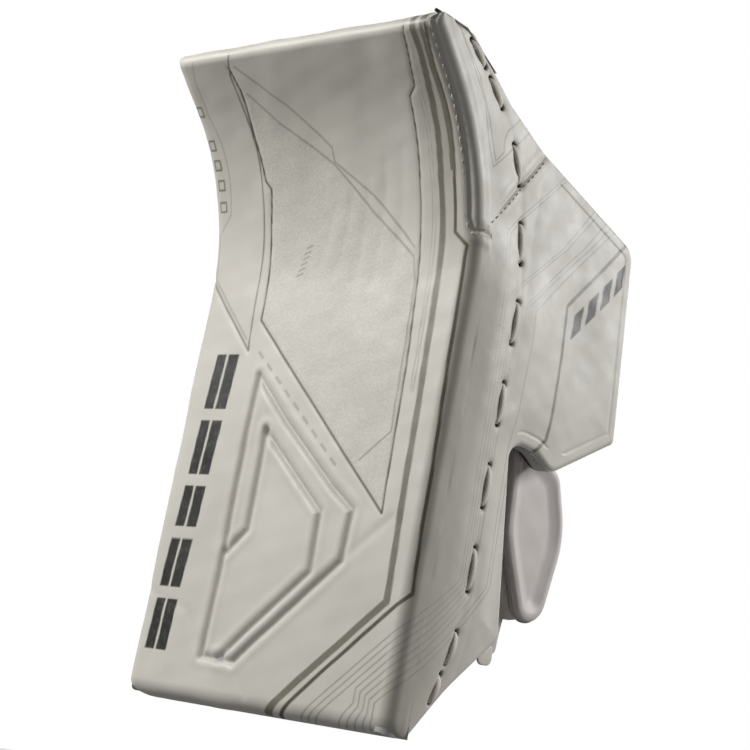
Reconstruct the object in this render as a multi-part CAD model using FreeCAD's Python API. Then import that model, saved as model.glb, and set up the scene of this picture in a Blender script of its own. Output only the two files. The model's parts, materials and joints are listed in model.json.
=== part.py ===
"""Ice hockey goalie blocker for the right hand, modelled as it is worn: fingers down.

Axes: +X towards the thumb, +Y from the striking face to the hand, +Z towards the elbow.
Origin: the middle of the board's flat bottom edge, which it can stand on.
All lengths are in millimetres. The shapes are drawn with Y measured from the striking face,
and the last step moves each one to the origin.
"""
import FreeCAD
import Part

import math
import os

V = FreeCAD.Vector

# ---- Driving dimensions -------------------------------------------------------------
WIDTH = 203.0            # full width of the board, 8 in, the largest the rules allow
FACE_LENGTH = 381.0      # length along the striking face, 15 in, the largest allowed
BEND_START = 237.0       # the face is flat up to this height
BEND_LENGTH = 116.0      # arc length of the forward curl
BEND_ANGLE = 46.0        # degrees that the curl turns through
BOARD_THICKNESS = 34.0
RIM_RADIUS = 5.0         # the face rolls over into its edges
FOAM_RIM_RADIUS = 8.0    # the foam under the skin is rounder than that
SKIN = 1.6               # synthetic leather with its backing
GAP = 0.1                # glue line between layers
FOAM_FRONT = (1.7, 19.5)     # depth behind the face where each layer starts and ends
PLATE = (19.6, 22.0)
FOAM_BACK = (22.1, 32.3)
COVER = (32.4, 34.0)
TOP_Z = 366.0            # the top edge is cut level at this height
ORIGIN = V(0.0, 13.5, 0.0)   # middle of the flat bottom edge, from the striking face

WALL = 12.0              # thickness of the side wall
WALL_FLARE_FROM = 45.0   # the wall leans outward behind this depth
WALL_FLARE = 5.4         # degrees
CORE_CORNER_RADIUS = 7.0     # the core's front outside edge is rounded under the skin
SEAM_X = 96.0            # the face skin ends and the side skin starts here

PIPING_RADIUS = 1.3
LACE_RADIUS = 1.9
LACE_HOLE_RADIUS = 2.5
LACE_DEPTH = 39.2        # distance of the lace line behind the face

PAD_Y = 47.0             # rear face of the back-of-hand pad
POCKET_X = (-30.0, 62.0)     # inside of the hand pocket
POCKET_Z = (172.0, 252.0)
FABRIC = 3.0             # padded fabric of the pocket
PALM_Y = (82.1, 84.1)
GRIP_Y = (84.2, 86.0)

SCREW_RADIUS = 2.5
SCREW_HEAD_RADIUS = 6.5
NUT_RADIUS = 4.0
SCREW_XZ = [(x, z) for x in (-16.0, 48.0) for z in (186.0, 226.0)]

STALL_WALL = 2.0         # finger and thumb stalls
FINGER_RADIUS = 10.9
FINGER_CURL = 30.0       # radius of the curled finger's centre line
KNUCKLE = (66.0, 174.0)  # y, z of the axis the three gripping fingers turn on
INDEX_BASE = V(58.0, 74.0, 160.0)
INDEX_TIP = V(76.0, 112.0, 92.0)
INDEX_CUP_RADIUS = 15.5
THUMB_BASE = V(76.0, 70.0, 246.0)
THUMB_TIP = V(76.0, 108.0, 196.0)
THUMB_RADIUS = 10.8
THUMB_GUARD = 3.0

CUFF_CENTRE = V(16.0, 84.0, 0.0)
CUFF_INNER = (36.0, 27.0)    # half-widths of the wrist opening across X and Y
CUFF_LINER = 4.5
CUFF_SHELL = 2.2
CUFF_Z = (262.0, 342.0)
CUFF_GAP = (60.0, 84.0)      # angles of the cuff's split, from +X towards +Y
STRAP_Z = (288.0, 320.0)

RADIUS = BEND_LENGTH / math.radians(BEND_ANGLE)   # of the curl, at the striking face
BOARD_RIGHT = WIDTH / 2 - WALL - 2 * GAP          # the board's layers stop at the side wall


# ---- Small geometry helpers ---------------------------------------------------------
def face_point(depth, s):
    """(y, z) of a point `depth` behind the face, `s` along it from the bottom."""
    turned = min(max(s - BEND_START, 0.0), BEND_LENGTH) / RADIUS
    past = max(s - BEND_START - BEND_LENGTH, 0.0)
    y = -RADIUS + (RADIUS + depth) * math.cos(turned) - past * math.sin(turned)
    z = min(s, BEND_START) + (RADIUS + depth) * math.sin(turned) + past * math.cos(turned)
    return y, z


def in_yz(point, x=0.0):
    return V(x, point[0], point[1])


def depth_edges(depth, s_end=FACE_LENGTH):
    """The edges of the line that runs `depth` behind the face, from the bottom to the top."""
    a = face_point(depth, 0.0)
    b = face_point(depth, BEND_START)
    mid = face_point(depth, BEND_START + BEND_LENGTH / 2)
    c = face_point(depth, BEND_START + BEND_LENGTH)
    d = face_point(depth, s_end)
    return [
        Part.LineSegment(in_yz(a), in_yz(b)).toShape(),
        Part.Arc(in_yz(b), in_yz(mid), in_yz(c)).toShape(),
        Part.LineSegment(in_yz(c), in_yz(d)).toShape(),
    ], a, d


def layer_band(near, far, x0, x1, s_end=FACE_LENGTH):
    """Everything between two depths behind the face, from x0 to x1."""
    front, front_low, front_high = depth_edges(near, s_end)
    back, back_low, back_high = depth_edges(far, s_end)
    top = Part.LineSegment(in_yz(front_high), in_yz(back_high)).toShape()
    bottom = Part.LineSegment(in_yz(back_low), in_yz(front_low)).toShape()
    wire = Part.Wire(Part.__sortEdges__(front + [top] + back + [bottom]))
    face = Part.Face(wire)
    face.translate(V(x0, 0, 0))
    return face.extrude(V(x1 - x0, 0, 0))


def rounded_wire(corners, place):
    """A closed wire through corners (a, b, radius), with each corner rounded to its radius."""
    count = len(corners)
    starts, ends, arcs = [], [], []
    for i, (a, b, radius) in enumerate(corners):
        here = V(a, b, 0)
        to_last = V(corners[i - 1][0], corners[i - 1][1], 0) - here
        to_next = V(corners[(i + 1) % count][0], corners[(i + 1) % count][1], 0) - here
        to_last.normalize()
        to_next.normalize()
        half = to_last.getAngle(to_next) / 2
        cut = radius / math.tan(half) if radius else 0.0
        starts.append(here + to_last * cut)
        ends.append(here + to_next * cut)
        if radius:
            inward = (to_last + to_next).normalize()
            centre = here + inward * (radius / math.sin(half))
            arcs.append(centre - inward * radius)
        else:
            arcs.append(None)
    edges = []
    for i in range(count):
        if arcs[i] is not None:
            edges.append(Part.Arc(place(starts[i]), place(arcs[i]), place(ends[i])).toShape())
        nearest = starts[(i + 1) % count]
        if (nearest - ends[i]).Length > 1e-6:
            edges.append(Part.LineSegment(place(ends[i]), place(nearest)).toShape())
    return Part.Wire(Part.__sortEdges__(edges))


def slab_yz(corners, x0, x1):
    """A slab whose outline is given in y and z."""
    face = Part.Face(rounded_wire(corners, lambda p: V(x0, p.x, p.y)))
    return face.extrude(V(x1 - x0, 0, 0))


def slab_xy(corners, z0, z1):
    """A slab whose outline is given in x and y."""
    face = Part.Face(rounded_wire(corners, lambda p: V(p.x, p.y, z0)))
    return face.extrude(V(0, 0, z1 - z0))


def box(x0, x1, y0, y1, z0, z1):
    return Part.makeBox(x1 - x0, y1 - y0, z1 - z0, V(x0, y0, z0))


def rod(start, end, radius):
    """A round bar from start to end."""
    return Part.makeCylinder(radius, (end - start).Length, start, end - start)


def filleted(solid, radius, chosen):
    """The solid with the edges that `chosen` accepts rounded."""
    return solid.makeFillet(radius, [e for e in solid.Edges if chosen(e)])


def along(edge, axis):
    """True if a straight edge runs along the x, y or z axis."""
    ends = [v.Point for v in edge.Vertexes]
    if len(ends) != 2 or not isinstance(edge.Curve, (Part.Line, Part.LineSegment)):
        return False
    run = ends[1] - ends[0]
    run.normalize()
    return abs(getattr(run, axis)) > 0.999


# ---- Board --------------------------------------------------------------------------
def board_outline(inset):
    """The board's side view, with its bevelled back edges, inset evenly."""
    slope = (-8.5 - inset * 0.4, 352.5 - inset, 0)
    return [
        (-100.0, inset, 0), (22.0 - inset, inset, 0), (34.0, 16.0 + inset, 0),
        (60.0, 16.0 + inset, 0), (60.0, slope[1] - 31.0, 0), slope,
        (-38.0 - inset * 0.4, TOP_Z - inset, 0), (-100.0, TOP_Z - inset, 0),
    ]


def board_block(inset, near, far, left, right):
    """The board's volume between two depths, cut to its outline."""
    block = layer_band(near, far, left, right, FACE_LENGTH - inset)
    return block.common(slab_yz(board_outline(inset), left - 1, right + 1))


def front_skin():
    """Wraps the face and the left, top and bottom edges, with a lip over the side wall's edge."""
    left = -WIDTH / 2
    outer = board_block(0.0, 0.0, BOARD_THICKNESS, left, SEAM_X)
    outer = filleted(outer, 12.0, lambda e: is_corner(e, left, 20.0))
    outer = filleted(outer, RIM_RADIUS, lambda e: is_front_rim(e, 0.0))
    inner = board_block(SKIN, SKIN, BOARD_THICKNESS + 1, left + SKIN, BOARD_RIGHT + 1)
    inner = filleted(inner, RIM_RADIUS - SKIN, lambda e: is_front_rim(e, SKIN))
    behind_lip = wall_sheet(-10.0, WALL + GAP).common(layer_band(SKIN, 90.0, 60.0, 130.0))
    return outer.cut(inner).cut(behind_lip)


def is_corner(edge, x, z_high):
    """True for the short edge through the board at its lower left corner."""
    middle = edge.CenterOfMass
    return abs(middle.x - x) < 0.01 and middle.z < z_high and along(edge, "y")


def is_front_rim(edge, depth):
    """True for a left, top or bottom edge of the surface `depth` behind the face."""
    count = 5
    for i in range(count):
        first, last = edge.ParameterRange
        p = edge.valueAt(first + (last - first) * i / (count - 1))
        if abs(depth_of(p.y, p.z) - depth) > 0.02:
            return False
    return edge.CenterOfMass.x < BOARD_RIGHT - 1


def depth_of(y, z):
    """How far a point in the side view lies behind the face."""
    if z <= BEND_START:
        return y
    angle = math.atan2(z - BEND_START, y + RADIUS)
    turned = math.radians(BEND_ANGLE)
    if angle <= turned:
        return math.hypot(y + RADIUS, z - BEND_START) - RADIUS
    y0, z0 = face_point(0.0, BEND_START + BEND_LENGTH)
    return (y - y0) * math.cos(turned) + (z - z0) * math.sin(turned)


def core_layer(span):
    """One flat layer inside the skin, following the face."""
    inset = SKIN + GAP
    left = -WIDTH / 2 + inset
    return board_block(inset, span[0], span[1], left, BOARD_RIGHT)


def face_foam():
    """The thick front foam, skived round along its bottom and its little-finger side."""
    layer = core_layer(FOAM_FRONT)
    top_start = BEND_START + RADIUS * math.sin(math.radians(BEND_ANGLE))
    skived = filleted(layer, FOAM_RIM_RADIUS,
                      lambda e: is_front_rim(e, FOAM_FRONT[0]) and e.CenterOfMass.z < top_start)
    inside_skin = filleted(layer, RIM_RADIUS - FOAM_FRONT[0], lambda e: is_front_rim(e, FOAM_FRONT[0]))
    return skived.common(inside_skin).cut(tee_nut_seats())


def stiffener_plate():
    return core_layer(PLATE).cut(screw_holes(NUT_RADIUS + GAP))


def back_foam():
    return core_layer(FOAM_BACK).cut(screw_holes(SCREW_RADIUS + 0.3))


def back_cover():
    return core_layer(COVER).cut(screw_holes(SCREW_RADIUS + 0.3))


# ---- Screws that hold the hand to the board -----------------------------------------
def screw_holes(radius):
    holes = [Part.makeCylinder(radius, 60, V(x, 5, z), V(0, 1, 0)) for x, z in SCREW_XZ]
    return Part.makeCompound(holes)


def tee_nut_seats():
    """Pockets in the front foam for the nuts' flanges and barrels."""
    depth = FOAM_FRONT[1] - 2.0
    seats = [Part.makeCylinder(9.2, 10, V(x, depth, z), V(0, 1, 0)) for x, z in SCREW_XZ]
    bores = [Part.makeCylinder(SCREW_RADIUS + 0.5, 10, V(x, depth - 4, z), V(0, 1, 0)) for x, z in SCREW_XZ]
    return Part.makeCompound(seats + bores)


def tee_nuts():
    """Four flanged nuts pressed into the plate from the face side."""
    nuts = []
    for x, z in SCREW_XZ:
        flange = Part.makeCylinder(9.0, 1.6, V(x, PLATE[0] - 1.7, z), V(0, 1, 0))
        barrel = Part.makeCylinder(NUT_RADIUS, 4.0, V(x, PLATE[0] - 1.7, z), V(0, 1, 0))
        bore = Part.makeCylinder(SCREW_RADIUS + 0.05, 12, V(x, PLATE[0] - 4, z), V(0, 1, 0))
        nuts.append(flange.fuse(barrel).cut(bore))
    return Part.makeCompound(nuts)


def hand_screws():
    """Four truss-head screws through the hand pad into the nuts."""
    screws = []
    for x, z in SCREW_XZ:
        shank = Part.makeCylinder(SCREW_RADIUS, 24.0, V(x, PLATE[0] - 1.0, z), V(0, 1, 0))
        head = Part.makeCylinder(SCREW_HEAD_RADIUS, 2.2, V(x, PLATE[0] + 22.5, z), V(0, 1, 0))
        head = filleted(head, 1.6, lambda e: e.CenterOfMass.y > PLATE[0] + 24.0 and len(e.Vertexes) == 1)
        slot = Part.makeCylinder(1.8, 1.4, V(x, PLATE[0] + 23.5, z), V(0, 1, 0))
        screws.append(shank.fuse(head).cut(slot))
    return Part.makeCompound(screws)


def binding(y, z):
    """Piping sewn along a rear edge of the board."""
    start = V(-WIDTH / 2 + 16.0, y, z)
    end = V(BOARD_RIGHT - 6.0, y, z)
    ends = [Part.makeSphere(PIPING_RADIUS, p) for p in (start, end)]
    return rod(start, end, PIPING_RADIUS).multiFuse(ends)


def bottom_binding():
    return binding(BOARD_THICKNESS + PIPING_RADIUS + GAP, 18.5)


def top_binding():
    return binding(-6.2, 354.2)


# ---- Side wall and its lacing -------------------------------------------------------
WING_TOP = 299.0         # upper rear corner of the thumb wing
WING_REAR = 141.0        # rearmost depth of the wing, at its lower corner


def wall_outline():
    """The side wall seen from the thumb side: (y, z, corner radius)."""
    straight = FACE_LENGTH - 20.0
    end = face_point(0.0, FACE_LENGTH)
    level = face_point((TOP_Z - end[1]) / math.sin(math.radians(BEND_ANGLE)), FACE_LENGTH)
    return [
        (0.0, 0.0, RIM_RADIUS), (15.0, 0.0, 3.0), (40.0, 28.0, 10.0), (74.0, 62.0, 9.0),
        (57.0, 167.0, 8.0), (78.0, 165.5, 14.0), (92.0, 157.0, 9.0),
        (WING_REAR, 187.0, 4.0), (131.0, WING_TOP, 11.0), (44.0, 328.0, 30.0),
        (10.0, 342.0, 20.0), (-30.0, TOP_Z, 7.0), (*level, 0), (*end, RIM_RADIUS),
        (*face_point(0.0, straight), 0), (*face_point(-20.0, straight), 0),
        (-100.0, 60.0, 0), (0.0, 60.0, 0),
    ]


def outer_x(y):
    """Outside of the side wall at a depth."""
    return WIDTH / 2 + max(y - WALL_FLARE_FROM, 0.0) * math.tan(math.radians(WALL_FLARE))


def wall_sheet(near, far):
    """The wall's material between two distances in from its outside."""
    low, high = -90.0, 160.0
    corners = [
        (outer_x(low) - near, low, 0), (outer_x(0) - near, WALL_FLARE_FROM, 0),
        (outer_x(high) - near, high, 0), (outer_x(high) - far, high, 0),
        (outer_x(0) - far, WALL_FLARE_FROM, 0), (outer_x(low) - far, low, 0),
    ]
    return slab_xy(corners, -5.0, TOP_Z + 5.0)


def wall_bar(near, far, depth):
    """A layer of the side wall from `depth` behind the striking face, before its outline is cut."""
    return wall_sheet(near, far).common(layer_band(depth, 300.0, 60.0, 130.0))


def wall_profile():
    return slab_yz(wall_outline(), 60.0, 130.0)


def side_skin_whole():
    """Skin over the outside of the wall and round its front corner."""
    block = wall_bar(0.0, WALL - GAP, 0.0)
    block = block.common(box(SEAM_X + GAP, 130, -100, 200, -5, 400))
    block = filleted(block, 4.0, lambda e: is_wall_corner(e, 0.0))
    return block.common(wall_profile()).cut(wall_bar(SKIN, 40.0, SKIN)).cut(lace_holes())


def is_wall_corner(edge, inset):
    """True for the front outside edge of a side wall layer that lies `inset` inside the wall."""
    first, last = edge.ParameterRange
    for i in range(5):
        p = edge.valueAt(first + (last - first) * i / 4)
        if abs(p.x - WIDTH / 2 + inset) > 0.01 or abs(depth_of(p.y, p.z) - inset) > 0.02:
            return False
    return True


def gusset_zone(margin):
    """Upper corner of the wall, above a seam that rises from the face to the rear slope."""
    corners = [
        (-120.0, 264.0 + margin, 0), (-9.0, 264.0 + margin, 0), (2.0, 268.0 + margin, 10.0),
        (46.0, 327.0 + margin, 0), (70.0, 380.0, 0), (-120.0, 380.0, 0),
    ]
    return slab_yz(corners, 80.0, 120.0)


def side_wall_skin():
    return side_skin_whole().cut(gusset_zone(-GAP))


def corner_gusset():
    return side_skin_whole().common(gusset_zone(GAP))


def side_wall_core():
    core = wall_bar(SKIN + GAP, WALL - SKIN - GAP, SKIN + GAP)
    core = filleted(core, CORE_CORNER_RADIUS, lambda e: is_wall_corner(e, SKIN + GAP))
    return core.common(wall_profile()).cut(lace_holes())


def side_wall_liner():
    liner = wall_bar(WALL - SKIN, WALL, SKIN + GAP)
    return liner.common(wall_profile()).cut(lace_holes())


def lace_stitches():
    """Distances along the face where each visible stitch starts and ends, from the bottom."""
    middle = [(81.5 + 45.0 * k, 104.0 + 45.0 * k) for k in range(4)]
    upper = [(256.0, 273.0), (290.0, 307.0), (324.0, 338.0), (344.0, 359.0)]
    return [(21.0, 36.0), (42.0, 59.0)] + middle + upper


def lace_depth(s):
    """The lace line runs parallel to the face and comes forward near both ends."""
    if s < 75.0:
        return LACE_DEPTH - (75.0 - s) * 0.19
    return LACE_DEPTH - max(s - 300.0, 0.0) * 0.28


def lace_point(s, x):
    y, z = face_point(lace_depth(s), s)
    return V(x, y, z)


def lace_holes():
    stations = [s for stitch in lace_stitches() for s in stitch]
    holes = [rod(lace_point(s, 80.0), lace_point(s, 125.0), LACE_HOLE_RADIUS) for s in stations]
    return Part.makeCompound(holes)


def tube_through(points, radius):
    """A round cord through a list of points."""
    pieces = [rod(a, b, radius) for a, b in zip(points, points[1:])]
    balls = [Part.makeSphere(radius, p) for p in points]
    return pieces[0].multiFuse(pieces[1:] + balls)


def side_lace():
    """A running stitch; near its ends the board leaves no room inside, so it is tucked into the core."""
    outside = WIDTH / 2 + LACE_RADIUS + 0.2
    inside = WIDTH / 2 - WALL - LACE_RADIUS - 0.3
    tucked = WIDTH / 2 - 8.0

    def stitch(ends, first_x, last_x):
        a, b = ends
        over = [lace_point(a, outside), lace_point(b, outside)]
        return [lace_point(a, first_x), *over, lace_point(b, last_x)]

    bottom, first, *middle, last, upper, top = lace_stitches()
    main = stitch(first, tucked, inside)
    for ends in middle:
        main += stitch(ends, inside, inside)
    main += stitch(last, inside, tucked)
    cords = [tube_through(stitch(ends, tucked, tucked), LACE_RADIUS) for ends in (bottom, upper, top)]
    return Part.makeCompound(cords + [tube_through(main, LACE_RADIUS)])


# ---- Hand pocket --------------------------------------------------------------------
def hand_pad():
    """Foam block between the board and the back of the hand, screwed through."""
    x0, x1 = POCKET_X
    pad = box(x0, x1, BOARD_THICKNESS + GAP, PAD_Y, POCKET_Z[0] + 4, POCKET_Z[1] - 2)
    pad = filleted(pad, 8.0, lambda e: along(e, "y"))
    pad = filleted(pad, 3.0, lambda e: abs(e.CenterOfMass.y - PAD_Y) < 0.01)
    seats = [Part.makeCylinder(SCREW_HEAD_RADIUS + 0.5, 10, V(x, 42.0, z), V(0, 1, 0)) for x, z in SCREW_XZ]
    return pad.cut(screw_holes(SCREW_RADIUS + 0.3)).cut(Part.makeCompound(seats))


def hand_back():
    """The pocket's back and both sides, with a hole where the thumb leaves it."""
    x0, x1 = POCKET_X
    near, rear = PAD_Y + GAP, PALM_Y[0] - GAP
    outer = box(x0 - FABRIC, x1 + FABRIC, near, rear, *POCKET_Z)
    outer = filleted(outer, 6.0, lambda e: along(e, "z") and e.CenterOfMass.y < near + 1)
    inner = box(x0, x1, near + FABRIC, rear + 5, POCKET_Z[0] - 1, POCKET_Z[1] + 1)
    inner = filleted(inner, 3.0, lambda e: along(e, "z") and e.CenterOfMass.y < near + FABRIC + 1)
    thumb_hole = rod(V(x1 - 5, 66.0, 236.0), V(x1 + 5, 66.0, 236.0), THUMB_RADIUS)
    return outer.cut(inner).cut(thumb_hole)


def sheet(x0, x1, span, z0, z1, corner):
    """A flat sheet facing the rear, with rounded corners."""
    flat = box(x0, x1, span[0], span[1], z0, z1)
    return filleted(flat, corner, lambda e: along(e, "y"))


def palm():
    return sheet(POCKET_X[0] - FABRIC, POCKET_X[1] + FABRIC, PALM_Y, POCKET_Z[0], POCKET_Z[1], 7.0)


def palm_grip():
    return sheet(POCKET_X[0] + 4, POCKET_X[1] - 8, GRIP_Y, POCKET_Z[0] + 4, POCKET_Z[1] - 14, 14.0)


# ---- Fingers ------------------------------------------------------------------------
def curled_bar(x, radius, top, turn):
    """A round bar down from the knuckle, then curled towards the palm through `turn` degrees."""
    y, z = KNUCKLE
    bend_z = z - 24.0
    start = V(x, y, bend_z)
    centre = V(x, y + FINGER_CURL, bend_z)
    straight = rod(V(x, y, top), start, radius)
    disc = Part.Face(Part.Wire(Part.makeCircle(radius, start, V(0, 0, 1))))
    curl = disc.revolve(centre, V(1, 0, 0), turn)
    angle = math.radians(turn)
    tip = V(x, centre.y - FINGER_CURL * math.cos(angle), bend_z - FINGER_CURL * math.sin(angle))
    return straight.multiFuse([curl, Part.makeSphere(radius, tip)])


def gripping_stall(x):
    """A hollow stall for one finger, open at the knuckle."""
    top = KNUCKLE[1] - 3.0
    outer = curled_bar(x, FINGER_RADIUS, top, 165.0)
    inner = curled_bar(x, FINGER_RADIUS - STALL_WALL, top + 5.0, 165.0)
    return outer.cut(inner)


def capsule(start, end, radius):
    """A bar with a flat end at the start and a round one at the end."""
    return rod(start, end, radius).fuse(Part.makeSphere(radius, end))


def straight_stall(base, tip, radius):
    """A hollow stall with an open flat end at the base and a round tip."""
    back = (base - tip).normalize() * 5.0
    return capsule(base, tip, radius).cut(capsule(base + back, tip, radius - STALL_WALL))


def index_stall():
    return straight_stall(INDEX_BASE, INDEX_TIP, FINGER_RADIUS)


def index_cup():
    """Thick foam cup over the end of the index finger."""
    start = INDEX_TIP + (INDEX_BASE - INDEX_TIP) * 0.45
    outer = capsule(start, INDEX_TIP, INDEX_CUP_RADIUS)
    return outer.cut(capsule(INDEX_BASE, INDEX_TIP, FINGER_RADIUS + GAP))


def index_shield():
    """Padded plate on the thumb side of the index finger."""
    outline = [
        (81.0, 165.0, 4.0), (124.0, 165.0, 4.0), (136.0, 128.0, 40.0),
        (124.0, 84.0, 12.0), (104.0, 84.0, 10.0), (87.0, 118.0, 30.0),
    ]
    plate = slab_yz(outline, 84.0, 91.0)
    plate = filleted(plate, 2.5, lambda e: abs(e.CenterOfMass.x - 91.0) < 0.01)
    return plate.cut(capsule(INDEX_BASE, INDEX_TIP, INDEX_CUP_RADIUS + GAP))


def index_flap():
    """Folded end of the finger's fabric, hanging below the cup."""
    outline = [
        (84.0, 98.0, 0), (108.0, 90.0, 0), (104.5, 66.0, 0), (104.0, 55.5, 3.0), (88.0, 57.0, 3.0),
    ]
    cup = capsule(INDEX_BASE, INDEX_TIP, INDEX_CUP_RADIUS + GAP)
    flap = slab_yz(outline, 78.0, 80.0).cut(cup)
    return max(flap.Solids, key=lambda s: s.Volume)


def index_tab():
    """Small pull tab sewn to the flap."""
    outline = [(86.0, 58.0, 3.0), (87.0, 48.0, 4.0), (100.0, 49.0, 4.0), (99.0, 61.0, 3.0)]
    return slab_yz(outline, 80.1, 81.6)


def thumb_stall():
    return straight_stall(THUMB_BASE, THUMB_TIP, THUMB_RADIUS)


def thumb_guard():
    """Padded shell over the wing side of the thumb."""
    start = THUMB_BASE + (THUMB_TIP - THUMB_BASE) * 0.3
    shell = capsule(start, THUMB_TIP, THUMB_RADIUS + THUMB_GUARD)
    shell = shell.cut(capsule(THUMB_BASE, THUMB_TIP, THUMB_RADIUS + GAP))
    return shell.common(box(THUMB_TIP.x + 2, THUMB_TIP.x + 30, 30, 160, 150, 280))


# ---- Cuff and wrist strap -----------------------------------------------------------
def ellipse_bar(grow, z0, z1):
    """An upright oval bar, `grow` larger than the wrist opening all round."""
    curve = Part.Ellipse(V(CUFF_CENTRE.x, CUFF_CENTRE.y, z0), CUFF_INNER[0] + grow, CUFF_INNER[1] + grow)
    return Part.Face(Part.Wire(curve.toShape())).extrude(V(0, 0, z1 - z0))


def wedge(first, last, z0, z1):
    """Everything seen from the cuff's middle between two angles, in degrees from +X to +Y."""
    reach = 200.0
    steps = max(2, math.ceil((last - first) / 60.0))
    corners = [V(CUFF_CENTRE.x, CUFF_CENTRE.y, z0)]
    for i in range(steps + 1):
        angle = math.radians(first + (last - first) * i / steps)
        corners.append(corners[0] + V(reach * math.cos(angle), reach * math.sin(angle), 0))
    return Part.Face(Part.makePolygon(corners + corners[:1])).extrude(V(0, 0, z1 - z0))


def cuff_band(near, far, z0, z1, first, last):
    """Part of an oval band, between two distances out from the wrist opening."""
    band = ellipse_bar(far, z0, z1).cut(ellipse_bar(near, z0 - 1, z1 + 1))
    return band.common(wedge(first, last, z0 - 1, z1 + 1))


SHELL_OUT = CUFF_LINER + GAP + CUFF_SHELL
SPLIT = (CUFF_GAP[1], CUFF_GAP[0] + 360.0)


def cuff_liner():
    return cuff_band(0.0, CUFF_LINER, *CUFF_Z, *SPLIT)


def cuff_shell():
    return cuff_band(CUFF_LINER + GAP, SHELL_OUT, *CUFF_Z, *SPLIT)


def cuff_binding():
    """Bound edge round the elbow end of the cuff."""
    return cuff_band(0.0, SHELL_OUT, CUFF_Z[1] + GAP, CUFF_Z[1] + 3.0, *SPLIT)


def loop_tape():
    return cuff_band(SHELL_OUT + GAP, SHELL_OUT + 1.0, STRAP_Z[0] + 1, STRAP_Z[1] - 1, 2.0, 50.0)


def hook_tape():
    return cuff_band(SHELL_OUT + 1.1, SHELL_OUT + 2.0, STRAP_Z[0] + 2, STRAP_Z[1] - 2, 8.0, 44.0)


def wrist_strap():
    return cuff_band(SHELL_OUT + 2.1, SHELL_OUT + 4.1, *STRAP_Z, 4.0, 180.0)


def strap_tab():
    """Stiff grip on the strap's free end."""
    return cuff_band(SHELL_OUT + 4.2, SHELL_OUT + 6.0, STRAP_Z[0] + 4, STRAP_Z[1] - 4, 5.0, 20.0)


def strap_anchor():
    """Patch that the strap's fixed end is sewn to."""
    return cuff_band(SHELL_OUT + GAP, SHELL_OUT + 4.1, *STRAP_Z, 187.0, 206.0)


# ---- Parts --------------------------------------------------------------------------
PARTS = {
    "front_skin": front_skin,
    "face_foam": face_foam,
    "stiffener_plate": stiffener_plate,
    "back_foam": back_foam,
    "back_cover": back_cover,
    "bottom_binding": bottom_binding,
    "top_binding": top_binding,
    "tee_nuts": tee_nuts,
    "hand_screws": hand_screws,
    "side_wall_core": side_wall_core,
    "side_wall_skin": side_wall_skin,
    "corner_gusset": corner_gusset,
    "side_wall_liner": side_wall_liner,
    "side_lace": side_lace,
    "hand_pad": hand_pad,
    "hand_back": hand_back,
    "palm": palm,
    "palm_grip": palm_grip,
    "middle_stall": lambda: gripping_stall(35.0),
    "ring_stall": lambda: gripping_stall(12.0),
    "little_stall": lambda: gripping_stall(-11.0),
    "index_stall": index_stall,
    "index_cup": index_cup,
    "index_shield": index_shield,
    "index_flap": index_flap,
    "index_tab": index_tab,
    "thumb_stall": thumb_stall,
    "thumb_guard": thumb_guard,
    "cuff_liner": cuff_liner,
    "cuff_shell": cuff_shell,
    "cuff_binding": cuff_binding,
    "loop_tape": loop_tape,
    "strap_anchor": strap_anchor,
    "wrist_strap": wrist_strap,
    "hook_tape": hook_tape,
    "strap_tab": strap_tab,
}


os.makedirs("parts", exist_ok=True)
for name, make in PARTS.items():
    shape = make()
    shape.translate(-ORIGIN)
    shape.exportStep("parts/" + name + ".step")
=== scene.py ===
"""Goalie blocker: leather skins, lacing, glove and cuff dressed over the CAD frame.

Sizes in this file are in millimetres: +X towards the thumb, +Y from the striking face to
the palm, +Z towards the elbow, measured from the middle of the face's bottom edge. The
function `placed` turns them into the frame's metres.
"""
import json
import math

import bpy
import numpy as np
from mathutils import Matrix, Vector


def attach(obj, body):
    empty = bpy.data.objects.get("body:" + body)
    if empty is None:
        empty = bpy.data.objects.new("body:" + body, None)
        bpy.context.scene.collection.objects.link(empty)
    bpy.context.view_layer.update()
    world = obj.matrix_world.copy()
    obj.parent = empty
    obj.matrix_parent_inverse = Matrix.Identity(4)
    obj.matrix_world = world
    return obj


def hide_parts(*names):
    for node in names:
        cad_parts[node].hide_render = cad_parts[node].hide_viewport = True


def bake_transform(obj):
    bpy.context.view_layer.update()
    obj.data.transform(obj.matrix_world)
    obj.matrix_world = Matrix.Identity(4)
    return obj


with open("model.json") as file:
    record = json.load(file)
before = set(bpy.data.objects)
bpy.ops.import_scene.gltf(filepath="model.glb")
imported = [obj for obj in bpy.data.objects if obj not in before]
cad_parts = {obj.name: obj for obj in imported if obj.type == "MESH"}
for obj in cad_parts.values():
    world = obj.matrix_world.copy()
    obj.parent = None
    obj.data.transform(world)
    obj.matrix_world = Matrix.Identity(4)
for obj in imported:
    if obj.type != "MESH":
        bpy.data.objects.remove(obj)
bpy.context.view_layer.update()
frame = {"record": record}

MM = 0.001
FACE_PLACE = [mount["pos_m"] for mount in frame["record"]["mounts"] if mount["name"] == "striking_face"][0]


def placed(points):
    """Millimetres behind the striking face, turned into metres in the frame."""
    return np.asarray(points, float) * MM + np.array([0.0, FACE_PLACE[1], 0.0])


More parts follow.
